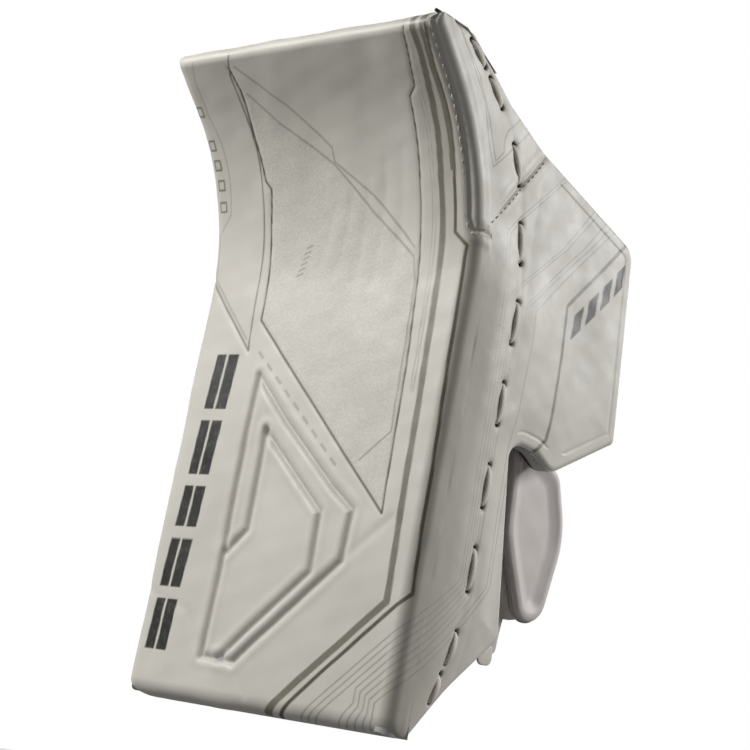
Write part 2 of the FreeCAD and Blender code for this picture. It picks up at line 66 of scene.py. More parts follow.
# ---- Board dimensions, as in the CAD ------------------------------------------------
HALF_WIDTH = 101.5
FACE_LENGTH = 381.0
BEND_START = 237.0
BEND_LENGTH = 116.0
BEND_ANGLE = math.radians(46.0)
RADIUS = BEND_LENGTH / BEND_ANGLE
THICKNESS = 34.0
TOP_Z = 366.0
WALL = 12.0
FLARE_FROM = 45.0
FLARE_SLOPE = math.tan(math.radians(5.4))
ROLL_LEFT = 11.0         # radius of each rolled edge of the face
ROLL_RIGHT = 9.0
ROLL_ANGLE = math.radians(77.2)  # how far the thumb-side roll turns before it runs on into the wall
ROLL_BOTTOM = 9.0
ROLL_TOP = 5.0
CORNER = 19.0            # the lower left corner seen from the front
TOP_CORNER = 6.0
BACK_DEPTH = THICKNESS - 0.2
BEVEL_START = 22.0       # the bottom edge slopes up towards the back from here
BEVEL_SLOPE = 16.0 / 12.0
BACK_TOP = (-8.7, 352.6)     # (y, z) where the board's back meets its sloping top
WRAP_DEPTH = 14.0        # the face skin wraps this far round the thumb-side corner
WALL_BULGE = 4.0         # padding that stands out of the side wall along its lacing
STEP = 0.75    # spacing of the printed skins' vertices


# ---- Number helpers -----------------------------------------------------------------
def smooth(value, low, high):
    """0 below low, 1 above high, and an eased ramp between."""
    t = np.clip((value - low) / (high - low), 0.0, 1.0)
    return t * t * (3.0 - 2.0 * t)


def near(away, width):
    """1 on a line, fading to nothing about twice `width` from it."""
    return np.exp(-(away / width) ** 2)


def unit(vectors):
    return vectors / np.linalg.norm(vectors, axis=-1, keepdims=True)


def travelled(points):
    """Distance along a line at each of its points."""
    return np.concatenate([[0.0], np.cumsum(np.linalg.norm(np.diff(points, axis=0), axis=1))])


def point_at(distance, run, points):
    """The point of a line at a distance along it."""
    return np.array([np.interp(distance, run, points[:, i]) for i in range(3)])


def line_distance(px, py, points, closed=False):
    """Distance from every (px, py) to a polyline."""
    best = np.full(px.shape, 1e9)
    ends = list(zip(points, points[1:] + points[:1])) if closed else list(zip(points, points[1:]))
    for (ax, ay), (bx, by) in ends:
        dx, dy = bx - ax, by - ay
        t = np.clip(((px - ax) * dx + (py - ay) * dy) / max(dx * dx + dy * dy, 1e-9), 0.0, 1.0)
        best = np.minimum(best, np.hypot(px - ax - t * dx, py - ay - t * dy))
    return best


def inside(px, py, points):
    """Signed distance into a convex outline given in counter-clockwise order."""
    best = np.full(px.shape, 1e9)
    for (ax, ay), (bx, by) in zip(points, points[1:] + points[:1]):
        length = math.hypot(bx - ax, by - ay)
        best = np.minimum(best, ((bx - ax) * (py - ay) - (by - ay) * (px - ax)) / length)
    return best


def ripple(px, py, scale, seed):
    """Smooth pseudo-random waves between -1 and 1, about `scale` long."""
    rng = np.random.default_rng(seed)
    total = np.zeros(px.shape)
    for _ in range(7):
        angle = rng.uniform(0, 2 * math.pi)
        wave = 2 * math.pi / (scale * rng.uniform(0.7, 1.6))
        total += np.sin((px * math.cos(angle) + py * math.sin(angle)) * wave + rng.uniform(0, 6.28))
    return total / 4.0


def rounded(corners, step=1.5):
    """Points along a closed outline whose corners (a, b, radius) are rounded."""
    points = []
    for i, (a, b, radius) in enumerate(corners):
        here = np.array([a, b])
        if radius <= 0:
            points.append(here)
            continue
        back = unit(np.array(corners[i - 1][:2]) - here)
        ahead = unit(np.array(corners[(i + 1) % len(corners)][:2]) - here)
        half = math.acos(np.clip(np.dot(back, ahead), -1, 1)) / 2
        centre = here + unit(back + ahead) * radius / math.sin(half)
        start, end = (here + way * radius / math.tan(half) - centre for way in (back, ahead))
        first = math.atan2(start[1], start[0])
        sweep = (math.atan2(end[1], end[0]) - first + math.pi) % (2 * math.pi) - math.pi
        steps = max(3, int(radius * abs(sweep) / step))
        for angle in first + sweep * np.arange(steps + 1) / steps:
            points.append(centre + radius * np.array([math.cos(angle), math.sin(angle)]))
    return np.array(points)


def resample(points, count, closed=True):
    """`count` evenly spaced points along an outline."""
    loop = np.vstack([points, points[:1]]) if closed else np.asarray(points, float)
    run = travelled(loop)
    at = np.linspace(0, run[-1], count, endpoint=not closed)
    return np.stack([np.interp(at, run, loop[:, k]) for k in range(loop.shape[1])], axis=1)


# ---- Mesh helpers -------------------------------------------------------------------
def displaced(points, height):
    """A grid of points moved out of its surface by a height at each point."""
    normal = np.cross(np.gradient(points, axis=1), np.gradient(points, axis=0))
    normal /= np.maximum(np.linalg.norm(normal, axis=2, keepdims=True), 1e-9)
    return points + normal * height[..., None]


class Piece:
    """What a piece is called, its material, the body it rides on and the CAD node it replaces."""

    def __init__(self, name, material, body="board", node=None, slot=None):
        self.name = name
        self.material = material
        self.body = body
        self.node = node
        self.slot = slot or SLOT_OF[material.name]


def new_object(piece, verts, faces):
    """A smooth mesh object that rides on its piece's body."""
    mesh = bpy.data.meshes.new(piece.name)
    mesh.from_pydata([tuple(v) for v in placed(verts)], [], [tuple(f) for f in faces])
    mesh.validate()
    mesh.update()
    mesh.polygons.foreach_set("use_smooth", [True] * len(mesh.polygons))
    obj = bpy.data.objects.new(piece.name, mesh)
    bpy.context.collection.objects.link(obj)
    mesh.materials.append(piece.material)
    if piece.body is not None:
        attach(obj, piece.body)
    if piece.node is not None:
        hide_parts(piece.node)
    return obj


def grid_faces(rows, columns, wrap_rows=False, wrap_columns=False, flip=False):
    r = np.arange(rows if wrap_rows else rows - 1)
    c = np.arange(columns if wrap_columns else columns - 1)
    rr, cc = np.meshgrid(r, c, indexing="ij")
    r2, c2 = (rr + 1) % rows, (cc + 1) % columns
    quads = np.stack([rr * columns + cc, rr * columns + c2, r2 * columns + c2, r2 * columns + cc], axis=-1)
    quads = quads.reshape(-1, 4)
    return quads[:, ::-1] if flip else quads


def capped_faces(rings, count, inward=False):
    """Faces of a tube of `rings` rings, each of `count` points, with both ends closed."""
    first, last = range(count), range((rings - 1) * count, rings * count)
    ends = [first, last[::-1]] if inward else [first[::-1], last]
    return list(grid_faces(rings, count, wrap_columns=True)) + ends


def set_attribute(obj, name, values):
    """Store a colour (n, 4) or a number (n) on every vertex."""
    kind = "FLOAT_COLOR" if values.ndim == 2 else "FLOAT"
    layer = obj.data.attributes.new(name, kind, "POINT")
    layer.data.foreach_set("color" if values.ndim == 2 else "value", values.astype(np.float32).ravel())


def ring(at, direction, radius, angles, side, flat=1.0):
    """A ring of points round `at`, square to `direction`; `flat` squeezes it towards `side`."""
    first = unit(side - direction * np.dot(side, direction))
    second = np.cross(direction, first)
    return at + np.outer(np.cos(angles) * radius * flat, first) + np.outer(np.sin(angles) * radius, second)


def tube(piece, path, radii, segments=16, flat=1.0, side=(0.31, 0.77, 0.55), cap=True):
    """A round or flattened cord through a list of points."""
    path = np.asarray(path, float)
    directions = unit(np.gradient(path, axis=0))
    angles = np.linspace(0, 2 * math.pi, segments, endpoint=False)
    radii = np.broadcast_to(np.asarray(radii, float), (len(path),))
    rings = [ring(at, direction, radius, angles, np.array(side, float), flat)
             for at, direction, radius in zip(path, directions, radii)]
    faces = capped_faces(len(path), segments) if cap else grid_faces(len(path), segments, wrap_columns=True)
    return new_object(piece, np.concatenate(rings), faces)


# ---- Materials ----------------------------------------------------------------------
class Shader:
    """A short way to write one material's nodes."""

    def __init__(self, name):
        self.material = bpy.data.materials.new(name)
        self.material.use_nodes = True
        self.tree = self.material.node_tree
        self.bsdf = self.tree.nodes["Principled BSDF"]
        coords = self.tree.nodes.new("ShaderNodeTexCoord")
        self.place = coords.outputs["Object"]

    def node(self, kind, inputs=None, **settings):
        made = self.tree.nodes.new(kind)
        for key, value in settings.items():
            setattr(made, key, value)
        for key, value in (inputs or {}).items():
            self.put(made.inputs[key], value)
        return made

    def put(self, socket, value):
        if isinstance(value, bpy.types.NodeSocket):
            self.tree.links.new(value, socket)
        else:
            socket.default_value = value

    def noise(self, scale, detail=3.0, rough=0.55, stretch=None):
        place = self.place
        if stretch is not None:
            place = self.node("ShaderNodeMapping", {"Vector": place, "Scale": stretch}).outputs["Vector"]
        inputs = {"Vector": place, "Scale": scale, "Detail": detail, "Roughness": rough}
        return self.node("ShaderNodeTexNoise", inputs).outputs["Fac"]

    def cells(self, scale, output="Distance"):
        return self.node("ShaderNodeTexVoronoi", {"Vector": self.place, "Scale": scale}).outputs[output]

    def wave(self, scale, direction, distortion=0.0):
        inputs = {"Vector": self.place, "Scale": scale, "Distortion": distortion}
        return self.node("ShaderNodeTexWave", inputs, bands_direction=direction).outputs["Fac"]

    def math(self, operation, a, b=0.0):
        return self.node("ShaderNodeMath", {0: a, 1: b}, operation=operation).outputs[0]

    def fit(self, value, low, high, new_low, new_high):
        return self.node("ShaderNodeMapRange", {
            "Value": value, "From Min": low, "From Max": high, "To Min": new_low, "To Max": new_high,
        }).outputs["Result"]

    def mix(self, fac, a, b, **settings):
        """Mix two colours; the numbers are the colour version's sockets."""
        made = self.node("ShaderNodeMix", data_type="RGBA", **settings)
        for number, value in ((0, fac), (6, a), (7, b)):
            self.put(made.inputs[number], value)
        return made.outputs[2]

    def bump(self, height, distance_mm, strength=1.0, below=None):
        inputs = {"Height": height, "Distance": distance_mm * MM, "Strength": strength}
        if below is not None:
            inputs["Normal"] = below
        return self.node("ShaderNodeBump", inputs).outputs["Normal"]

    def finish(self, color, roughness, normal=None, metallic=0.0, specular=0.5, sheen=0.0):
        inputs = {"Base Color": color, "Roughness": roughness, "Metallic": metallic,
                  "Specular IOR Level": specular, "Sheen Weight": sheen}
        if normal is not None:
            inputs["Normal"] = normal
        for name, value in inputs.items():
            self.put(self.bsdf.inputs[name], value)
        return self.material


def rgb(red, green, blue):
    """A screen colour (0 to 255) as the linear colour a shader wants."""
    out = []
    for value in (red, green, blue):
        c = value / 255.0
        out.append(c / 12.92 if c <= 0.04045 else ((c + 0.055) / 1.055) ** 2.4)
    return (*out, 1.0)


def print_and_shade_over(sh, color, rough, normal):
    """The glittering panel and the print with its painted shade, both stored on the vertices, laid over a
    leather.
    """
    panel = sh.node("ShaderNodeAttribute", attribute_name="panel").outputs["Fac"]
    spark = sh.node("ShaderNodeSeparateColor", {"Color": sh.cells(1100.0, "Color")}).outputs[0]
    tone = sh.fit(spark, 0.0, 1.0, 0.93, 1.07)
    grey = sh.node("ShaderNodeCombineColor", {0: tone, 1: tone, 2: tone}).outputs["Color"]
    color = sh.mix(panel, color, grey, blend_type="MULTIPLY")
    normal = sh.bump(sh.math("MULTIPLY", spark, panel), 0.10, 0.6, normal)
    print_and_shade_layer = sh.node("ShaderNodeAttribute", attribute_name="print").outputs
    amount = sh.math("MULTIPLY", print_and_shade_layer["Alpha"], sh.fit(sh.noise(300.0), 0.25, 0.5, 0.93, 1.0))
    color = sh.mix(amount, color, print_and_shade_layer["Color"])
    return color, sh.math("SUBTRACT", rough, sh.math("MULTIPLY", amount, 0.06)), normal


def coated_leather(name, base, dirt, printed=False):
    """Smooth coated leather with fine grain, faint mottling and grime; may carry the print and its painted
    shade.
    """
    sh = Shader(name)
    cloud = sh.fit(sh.noise(14.0, 4.0), 0.35, 0.7, 0.0, 1.0)
    color = sh.mix(sh.math("MULTIPLY", cloud, 0.45), base, dirt)
    specks = sh.fit(sh.noise(420.0, 2.0), 0.30, 0.36, 1.0, 0.0)
    color = sh.mix(sh.math("MULTIPLY", specks, 0.10), color, dirt)
    rough = sh.fit(sh.noise(60.0), 0.3, 0.7, 0.42, 0.56)
    normal = sh.bump(sh.cells(1500.0), 0.05, 0.5)
    normal = sh.bump(sh.noise(900.0, 2.0), 0.06, 0.5, normal)
    normal = sh.bump(sh.noise(45.0), 0.5, 0.5, normal)
    if printed:
        color, rough, normal = print_and_shade_over(sh, color, rough, normal)
    return sh.finish(color, rough, normal, specular=0.45)


def woven(name, base, light, scale=150.0, depth=0.25):
    """Coarse plain weave."""
    sh = Shader(name)
    warp, weft, cross = (sh.wave(scale, direction) for direction in "XZY")
    weave = sh.math("MAXIMUM", sh.math("MULTIPLY", warp, weft), sh.math("MULTIPLY", cross, weft))
    fuzz = sh.noise(700.0)
    shade = sh.math("ADD", sh.math("MULTIPLY", weave, 0.7), sh.math("MULTIPLY", fuzz, 0.3))
    color = sh.mix(shade, base, light)
    normal = sh.bump(fuzz, 0.1, 0.5, sh.bump(weave, depth, 0.8))
    return sh.finish(color, 0.85, normal, sheen=0.2)


def suede(name, base, light):
    """Napped palm leather, darker where it is rubbed."""
    sh = Shader(name)
    nap = sh.noise(260.0, 5.0, 0.7)
    patch = sh.noise(22.0, 3.0)
    color = sh.mix(sh.fit(sh.math("ADD", nap, patch), 0.7, 1.3, 0.0, 1.0), base, light)
    normal = sh.bump(sh.noise(1200.0, 3.0), 0.12, 0.7)
    normal = sh.bump(patch, 0.7, 0.5, normal)
    return sh.finish(color, 0.92, normal, sheen=0.35)


def braid(name, base, crevice_shade, depth=0.22):
    """Waxed braided cord, darker in the grooves between its strands: painted shade."""
    sh = Shader(name)
    first = sh.wave(230.0, "DIAGONAL", 0.6)
    strands = sh.cells(900.0)
    # the grooves between strands take the darker colour: painted shade
    color = sh.mix(sh.fit(sh.math("MULTIPLY", first, strands), 0.0, 0.5, 0.0, 1.0), crevice_shade, base)
    normal = sh.bump(first, depth, 0.7)
    normal = sh.bump(strands, depth / 2, 0.6, normal)
    return sh.finish(color, 0.62, normal, sheen=0.1)


def foam(name, base, crevice_shade):
    """Closed-cell foam with tiny pores, darker inside them: painted shade."""
    sh = Shader(name)
    pores = sh.fit(sh.cells(800.0), 0.0, 0.35, 0.0, 1.0)
    # the pores take the darker colour: painted shade
    color = sh.mix(pores, crevice_shade, base)
    return sh.finish(color, 0.9, sh.bump(pores, 0.15, 0.7))


def moulded(name, base, light):
    """Moulded plastic with a spark-eroded texture."""
    sh = Shader(name)
    spots = sh.noise(850.0, 2.0)
    color = sh.mix(sh.fit(sh.noise(35.0), 0.3, 0.7, 0.0, 0.6), base, light)
    return sh.finish(color, sh.fit(spots, 0.3, 0.7, 0.42, 0.6), sh.bump(spots, 0.06, 0.6))


def plated(name):
    """Zinc-plated steel with turning marks."""
    sh = Shader(name)
    marks = sh.noise(500.0, 3.0, stretch=(1.0, 9.0, 1.0))
    color = sh.mix(sh.fit(sh.noise(90.0), 0.35, 0.65, 0.0, 1.0), rgb(176, 176, 172), rgb(206, 204, 196))
    return sh.finish(color, sh.fit(marks, 0.3, 0.7, 0.25, 0.42), sh.bump(marks, 0.03, 0.5), metallic=1.0)


def pile(name, base, light):
    """Hook or loop tape."""
    sh = Shader(name)
    tufts = sh.cells(1400.0)
    color = sh.mix(tufts, light, base)
    normal = sh.bump(tufts, 0.5, 0.9)
    return sh.finish(color, 0.95, normal, sheen=0.5)


WHITE = rgb(233, 229, 219)
GRIME = rgb(208, 203, 190)
PRINTED_SHADED = coated_leather("printed_leather", WHITE, GRIME, printed=True)
LEATHER = coated_leather("white_leather", WHITE, GRIME)
BLUSH = coated_leather("guard_leather", rgb(229, 221, 217), rgb(208, 198, 192))
PIPING = coated_leather("piping_leather", rgb(196, 193, 186), rgb(166, 161, 152))
BLACK = woven("black_fabric_weave", rgb(14, 14, 15), rgb(44, 44, 46))
LINING = woven("lining_knit", rgb(30, 30, 32), rgb(70, 70, 73), scale=1300.0 / 6.0, depth=0.15)
PALM = suede("palm_suede", rgb(58, 55, 52), rgb(92, 88, 83))
GRIP = suede("grip_suede", rgb(168, 158, 138), rgb(202, 193, 174))
LACE = braid("lace_braid", rgb(240, 234, 224), rgb(222, 215, 204), depth=0.05)
THREAD = braid("seam_thread", rgb(226, 222, 212), rgb(150, 144, 132))
PALE_THREAD = braid("pale_seam_thread", rgb(240, 236, 228), rgb(214, 208, 198), depth=0.08)
DARK_THREAD = braid("dark_thread", rgb(88, 84, 76), rgb(44, 42, 38))
FOAM = foam("board_foam_cells", rgb(196, 196, 192), rgb(140, 140, 136))
PLASTIC = moulded("stiff_plastic_sheet", rgb(20, 20, 21), rgb(42, 42, 44))
STEEL = plated("plated_steel_turned")
TAPE = pile("tape_pile", rgb(12, 12, 13), rgb(52, 52, 54))

# The record's material slot that each material stands for.
SLOT_OF = {material.name: slot for slot, users in {
    "white_skin": (PRINTED_SHADED, LEATHER, BLUSH, THREAD, PALE_THREAD, DARK_THREAD), "piping": (PIPING,),
    "black_fabric": (BLACK,), "backing_fabric": (LINING,), "palm_leather": (PALM,), "grip_leather": (GRIP,),
    "lace_cord": (LACE,), "stiff_plastic": (PLASTIC,), "tape": (TAPE,),
}.items() for material in users}


# ---- Board surface ------------------------------------------------------------------
def face_yz(depth, s):
    """(y, z) of points `depth` behind the face and `s` along it."""
    turned = np.clip(s - BEND_START, 0.0, BEND_LENGTH) / RADIUS
    past = np.maximum(s - BEND_START - BEND_LENGTH, 0.0)
    y = -RADIUS + (RADIUS + depth) * np.cos(turned) - past * np.sin(turned)
    z = np.minimum(s, BEND_START) + (RADIUS + depth) * np.sin(turned) + past * np.cos(turned)
    return y, z


def outer_x(y):
    return HALF_WIDTH + np.maximum(y - FLARE_FROM, 0.0) * FLARE_SLOPE


def bulge(depth, s):
    """How far the padded side wall stands out of its frame; the curled top is flatter."""
    rise = np.clip((depth - 7.0) / 30.0, 0.0, 1.0)
    return WALL_BULGE * (1.0 - (1.0 - rise) ** 2) * (1.0 - 0.85 * smooth(s, 235.0, 275.0))


def right_roll(arc):
    """(x, depth, angle turned) at a distance over the skin from where the thumb-side roll starts."""
    angle = np.minimum(arc / ROLL_RIGHT, ROLL_ANGLE)
    depth = ROLL_RIGHT * (1 - np.cos(angle)) + np.maximum(arc - ROLL_RIGHT * ROLL_ANGLE, 0.0)
    closing = ROLL_RIGHT * (1 - math.sin(ROLL_ANGLE)) * smooth(depth, 2.0, 13.0)
    return HALF_WIDTH - ROLL_RIGHT * (1 - np.sin(angle)) + closing, depth, angle


def quarter(radius):
    """Offsets (inset from the edge, depth) round a rolled edge, from the face to the side."""
    count = max(4, int(radius * math.pi / 2 / STEP))
    angle = np.linspace(0, math.pi / 2, count + 1)
    return radius * (1 - np.sin(angle)), radius * (1 - np.cos(angle))


def face_lines():
    """Columns (x, flat x, depth) and rows (s, depth) of the wrapped face skin."""
    left_in, left_deep = quarter(ROLL_LEFT)
    arc = np.linspace(0.0, ROLL_RIGHT * ROLL_ANGLE + WRAP_DEPTH - 7.0, int(19.0 / STEP) + 2)
    right_x, right_deep, _ = right_roll(arc)
    low_in, low_deep = quarter(ROLL_BOTTOM)
    top_in, top_deep = quarter(ROLL_TOP)
    skirt = np.arange(BACK_DEPTH, ROLL_LEFT, -1.5)
    flat_x = np.arange(-HALF_WIDTH + ROLL_LEFT, HALF_WIDTH - ROLL_RIGHT, STEP)[1:]
    left_x = np.concatenate([np.full(len(skirt), -HALF_WIDTH), -HALF_WIDTH + left_in[::-1], flat_x])
    flat = np.concatenate([left_x, HALF_WIDTH - ROLL_RIGHT + arc])
    column_depth = np.concatenate([skirt, left_deep[::-1], 0 * flat_x, right_deep])
    low_skirt = np.arange(BACK_DEPTH, ROLL_BOTTOM, -1.2)
    flat_s = np.arange(ROLL_BOTTOM, FACE_LENGTH - ROLL_TOP, STEP)[1:]
    top_skirt = np.concatenate([np.arange(ROLL_TOP, 10.0, 0.8)[1:], np.arange(10.0, 82.0, 1.6)])
    s = np.concatenate([
        np.zeros(len(low_skirt)), low_in[::-1], flat_s,
        FACE_LENGTH - top_in, np.full(len(top_skirt), FACE_LENGTH)])
    row_depth = np.concatenate([low_skirt, low_deep[::-1], 0 * flat_s, top_deep, top_skirt])
    return np.concatenate([left_x, right_x]), flat, column_depth, s, row_depth


def round_corner(x, s, centre_x, centre_s, radius):
    """Pull a sharp corner of the plan view in to a round one."""
    dx, ds = x - centre_x, s - centre_s
    outside = (dx * np.sign(centre_x) > 0) & (ds * np.sign(centre_s - 150.0) > 0)
    far = np.hypot(dx, ds)
    pull = np.where(outside & (far > radius), radius / np.maximum(far, 1e-6), 1.0)
    return centre_x + dx * pull, centre_s + ds * pull


def top_limit(y):
    """Height of the board's top, which slopes down towards the back."""
    return TOP_Z - np.maximum(y + 38.0, 0.0) * 13.5 / 29.5


def face_surface():
    """Rest positions of the face skin's grid, with its flat coordinates."""
    x, flat, column_depth, s, row_depth = face_lines()
    xx, ss = np.meshgrid(x, s)
    depth = row_depth[:, None] + column_depth[None, :]
    xx += np.where(xx > 0, bulge(column_depth[None, :], ss), 0.0)
    xx, ss = round_corner(xx, ss, -HALF_WIDTH + CORNER, CORNER, CORNER)
    xx, ss = round_corner(xx, ss, -HALF_WIDTH + TOP_CORNER, FACE_LENGTH - TOP_CORNER, TOP_CORNER)
    low = ss < BEND_START
    depth = np.where(low, np.minimum(depth, BACK_DEPTH), depth)
    under_wall = low & (xx > HALF_WIDTH - WALL - 0.1) & (depth > WRAP_DEPTH)
    depth = np.where(under_wall, WRAP_DEPTH + 0.05 * (depth - WRAP_DEPTH), depth)
    y, z = face_yz(depth, ss)
    z = np.where(low, np.maximum(z, (y - BEVEL_START) * BEVEL_SLOPE), z)
    z = np.where(low, z, np.minimum(z, top_limit(y)))
    past_back = (~low) & (depth > THICKNESS) & (y > BACK_TOP[0])
    y = np.where(past_back, BACK_TOP[0], y)
    z = np.where(past_back, BACK_TOP[1], z)
    return np.stack([xx, y, z], axis=2), np.where(xx > 0, flat[None, :], xx), ss, depth


# The print is given as outlines in flat face coordinates: x across, s up along the face.
SQUARES = [(-93.0, 348.0), (-91.6, 327.0), (-90.6, 315.0), (-90.0, 303.0), (-90.0, 290.0)]
ARROW = [(-102, 251), (-54, 202), (-56, 241), (-55, 320), (-57, 346), (-58, 367), (-54, 379)]
ARROW_ECHO = [(-84, 378), (-87, 367), (-87, 346), (-83, 328), (-82, 308), (-84, 285), (-94, 273),
              (-94, 247), (-57, 209)]
PANEL_EDGE = [(-57, 372), (-54, 357), (-55, 331), (-52, 303), (-48, 298), (-50, 276), (-48, 220),
              (-12, 187), (71, 112), (69, 187), (64, 270), (64, 294), (68, 341), (73, 346), (78, 379)]
PANEL_HULL = [(-48, 220), (-12, 187), (71, 112), (69, 187), (64, 257), (4, 309), (-52, 362), (-52, 303)]
PANEL_LINES = [
    [(-52, 372), (-22, 345), (4, 318), (4, 310), (31, 289), (61, 259)],
    [(-50, 355), (-31, 335), (3, 309), (30, 280), (61, 254), (64, 240), (67, 156), (48, 140)],
]
WIDE_STRIPE = [(84.5, 381), (84.5, 365), (82, 342), (81, 320), (79, 293), (79.5, 251), (82, 176), (84, 109),
               (85.5, 66.5), (47.5, 32), (12, 0)]
DARK_STRIPE = [(93, 381), (93, 376), (90, 355), (90.5, 336), (90, 318), (88, 292), (88, 266), (96, 258.5),
               (95.5, 250), (96.2, 200), (98.4, 131), (98.4, 110), (99.7, 72), (49, 25.5), (22, 0)]
TOP_STRIPE = [(90.6, 381), (88.4, 355), (88.6, 336), (88.4, 318), (87.4, 300)]
OUTER_CHANNEL = [(-40, 187), (-41, 155), (-40, 85), (-42, 26), (-17, 25), (49, 85), (50, 113), (34, 124),
                 (-12, 161)]
INNER_CHANNEL = [(-26, 156), (-25, 98), (-38, 85)]
INNER_DIAMOND = [(-25, 154), (27, 111), (28, 78), (-28, 26)]
LOW_CREASES = [[(-100, 60), (-60, 50), (-42, 26)], [(49, 85), (78, 110)], [(-17, 25), (-4, 8)]]
BAR_LEAN = 0.06          # the side bars lean with the edge of the face
BAR_SIDES = ((-89.0, -81.4), (-79.6, -71.0))
BAR_ENDS = ((26, 55), (62, 90), (97, 121), (128, 160), (167, 200))
INK_EDGE = 0.35          # half the width of a printed shape's soft edge


def paint_over(paint, mask, color, strength=1.0):
    """Lay one colour, of print or of painted shade, over what is already painted."""
    amount = np.clip(mask * strength, 0, 1)[..., None]
    target = np.array(color[:3])
    base = np.where(paint[..., 3:4] > 1e-4, paint[..., :3], target)
    paint[..., :3] = base * (1 - amount) + target * amount
    paint[..., 3:4] = np.maximum(paint[..., 3:4], amount)


def ink_bar(paint, px, py, corners):
    """A black bar printed inside four corners."""
    paint_over(paint, smooth(inside(px, py, corners), -INK_EDGE, INK_EDGE), MARK_BLACK, 0.97)


def ink_line(paint, px, py, points, width, color, strength, closed=False):
    """A printed line of the given width."""
    edge = max(INK_EDGE, STEP * 0.45)
    away = line_distance(px, py, points, closed)
    paint_over(paint, 1.0 - smooth(away, width / 2 - edge, width / 2 + edge), color, strength)


OLIVE = rgb(128, 124, 107)
DARK_OLIVE = rgb(84, 81, 62)
MARK_BLACK = rgb(30, 29, 25)
# painted shade inside the open lace holes
HOLE_SHADE = rgb(16, 15, 13)
FINE_GREY = rgb(150, 147, 138)
# painted shade of the dark roll round the thumb-side corner and its recesses
ROLL_SHADE = rgb(194, 188, 176)
GROOVE_SHADE = rgb(176, 172, 164)   # painted shade in the pressed grooves


def contour_on_face(k):
    """Thin line number k of the eight that leave the bottom edge and run up onto the side wall."""
    start = 52.0 - 4.7 * k
    line = [(111.6, start + 16.7), (94.0, start)]
    if k < 3:
        return line + [(94.0 - start / 0.9, 0.0)]
    step = k - 3
    jog_x, jog_s = 75.5 + 3.5 * step, 21.0 - 1.5 * step
    return line + [(jog_x, jog_s), (jog_x, jog_s - 7.5), (jog_x - 12.0 + 2.2 * step, 0.0)]


def face_print(px, ps):
    """Everything printed on the striking face, with painted shade along its thumb-side roll, beside the
    gusset and in its pressed grooves.
    """
    paint = np.zeros(px.shape + (4,))
    # painted shade along the thumb-side roll, below the curl
    paint_over(paint, smooth(px, 92.0, 100.0) * (1 - smooth(ps, 250.0, 275.0)), ROLL_SHADE, 0.5)
    # painted shade in the recess beside the gusset, on the curl
    shade_beside_gusset = smooth(px, 58.0, 92.0) * (1 - smooth(px, 94.0, 98.0))
    paint_over(paint, shade_beside_gusset * smooth(ps, 225.0, 285.0), ROLL_SHADE, 0.6)
    for line in (OUTER_CHANNEL, INNER_CHANNEL, INNER_DIAMOND):
        # painted shade inside the pressed channels
        paint_over(paint, near(line_distance(px, ps, line, line is OUTER_CHANNEL), 1.6), GROOVE_SHADE, 0.55)
    lines = [(ARROW_ECHO, 0.9, FINE_GREY, 0.45), (ARROW, 1.0, DARK_OLIVE, 0.8)]
    lines += [(line, 0.9, FINE_GREY, 0.8) for line in PANEL_LINES]
    lines += [(PANEL_EDGE, 1.3, DARK_OLIVE, 0.95), (WIDE_STRIPE, 4.2, OLIVE, 0.95),
              (DARK_STRIPE, 2.3, DARK_OLIVE, 0.95), (TOP_STRIPE, 3.0, OLIVE, 0.95)]
    for offset in (5.0, 7.0):
        inner = [(x - offset, s + offset * 0.4) for x, s in WIDE_STRIPE[:7]]
        lines.append((inner, 0.7, FINE_GREY, 0.6))
    for line, width, color, strength in lines:
        ink_line(paint, px, ps, line, width, color, strength)
    for x, s in SQUARES:
        outline = [(x - 2.6, s - 2.8), (x + 2.6, s - 2.8), (x + 2.6, s + 2.8), (x - 2.6, s + 2.8)]
        ink_line(paint, px, ps, outline, 1.0, DARK_OLIVE, 0.85, closed=True)
    for k in range(6):
        tick = [(-20.0 - k * 1.2, 262.0 - k * 3.2), (-15.5 - k * 1.2, 263.5 - k * 3.2)]
        ink_line(paint, px, ps, tick, 0.9, FINE_GREY, 0.7)
    for k in range(9):
        dash = [(-44.0 + k * 9.0, 201.0 - k * 7.6), (-40.0 + k * 9.0, 197.6 - k * 7.6)]
        ink_line(paint, px, ps, dash, 1.5, FINE_GREY, 0.6)
    for k in range(8):
        ink_line(paint, px, ps, contour_on_face(k), 0.75, FINE_GREY, 0.75)
    for s0, s1 in BAR_ENDS:
        shift = (s0 - BAR_ENDS[0][0]) * BAR_LEAN
        for x0, x1 in BAR_SIDES:
            corners = [(x0 + shift, s0), (x1 + shift, s0), (x1 + shift, s1), (x0 + shift, s1)]
            ink_bar(paint, px - (ps - s0) * BAR_LEAN, ps, corners)
    return paint


def face_relief(px, ps):
    """Height of the face skin above its frame: padding, pressed channels and creases."""
    height = 0.35 * ripple(px, ps, 55.0, 3) + 0.12 * ripple(px, ps, 17.0, 4)
    height += 0.9 * np.clip(1 - (px / 98.0) ** 4, 0, 1) * np.clip(ps * (FACE_LENGTH - ps) / 20000.0, 0, 1)
    for line in (OUTER_CHANNEL, INNER_CHANNEL, INNER_DIAMOND):
        away = line_distance(px, ps, line, line is OUTER_CHANNEL)
        height += 0.3 * near(away - 5.0, 2.4) - 1.7 * near(away, 2.0)
    grooves = [(line, 0.35, 3.0) for line in LOW_CREASES] + [(ARROW[:2], 0.5, 2.0), (PANEL_EDGE, 0.3, 1.5)]
    for k in range(5):
        fold = [(-10.0 + k * 14.0, 250.0 - k * 4.0), (2.0 + k * 13.0, 285.0 + k * 7.0)]
        grooves.append((fold, 0.2, 3.2))
    for line, depth, width in grooves:
        height -= depth * near(line_distance(px, ps, line), width)
    return height


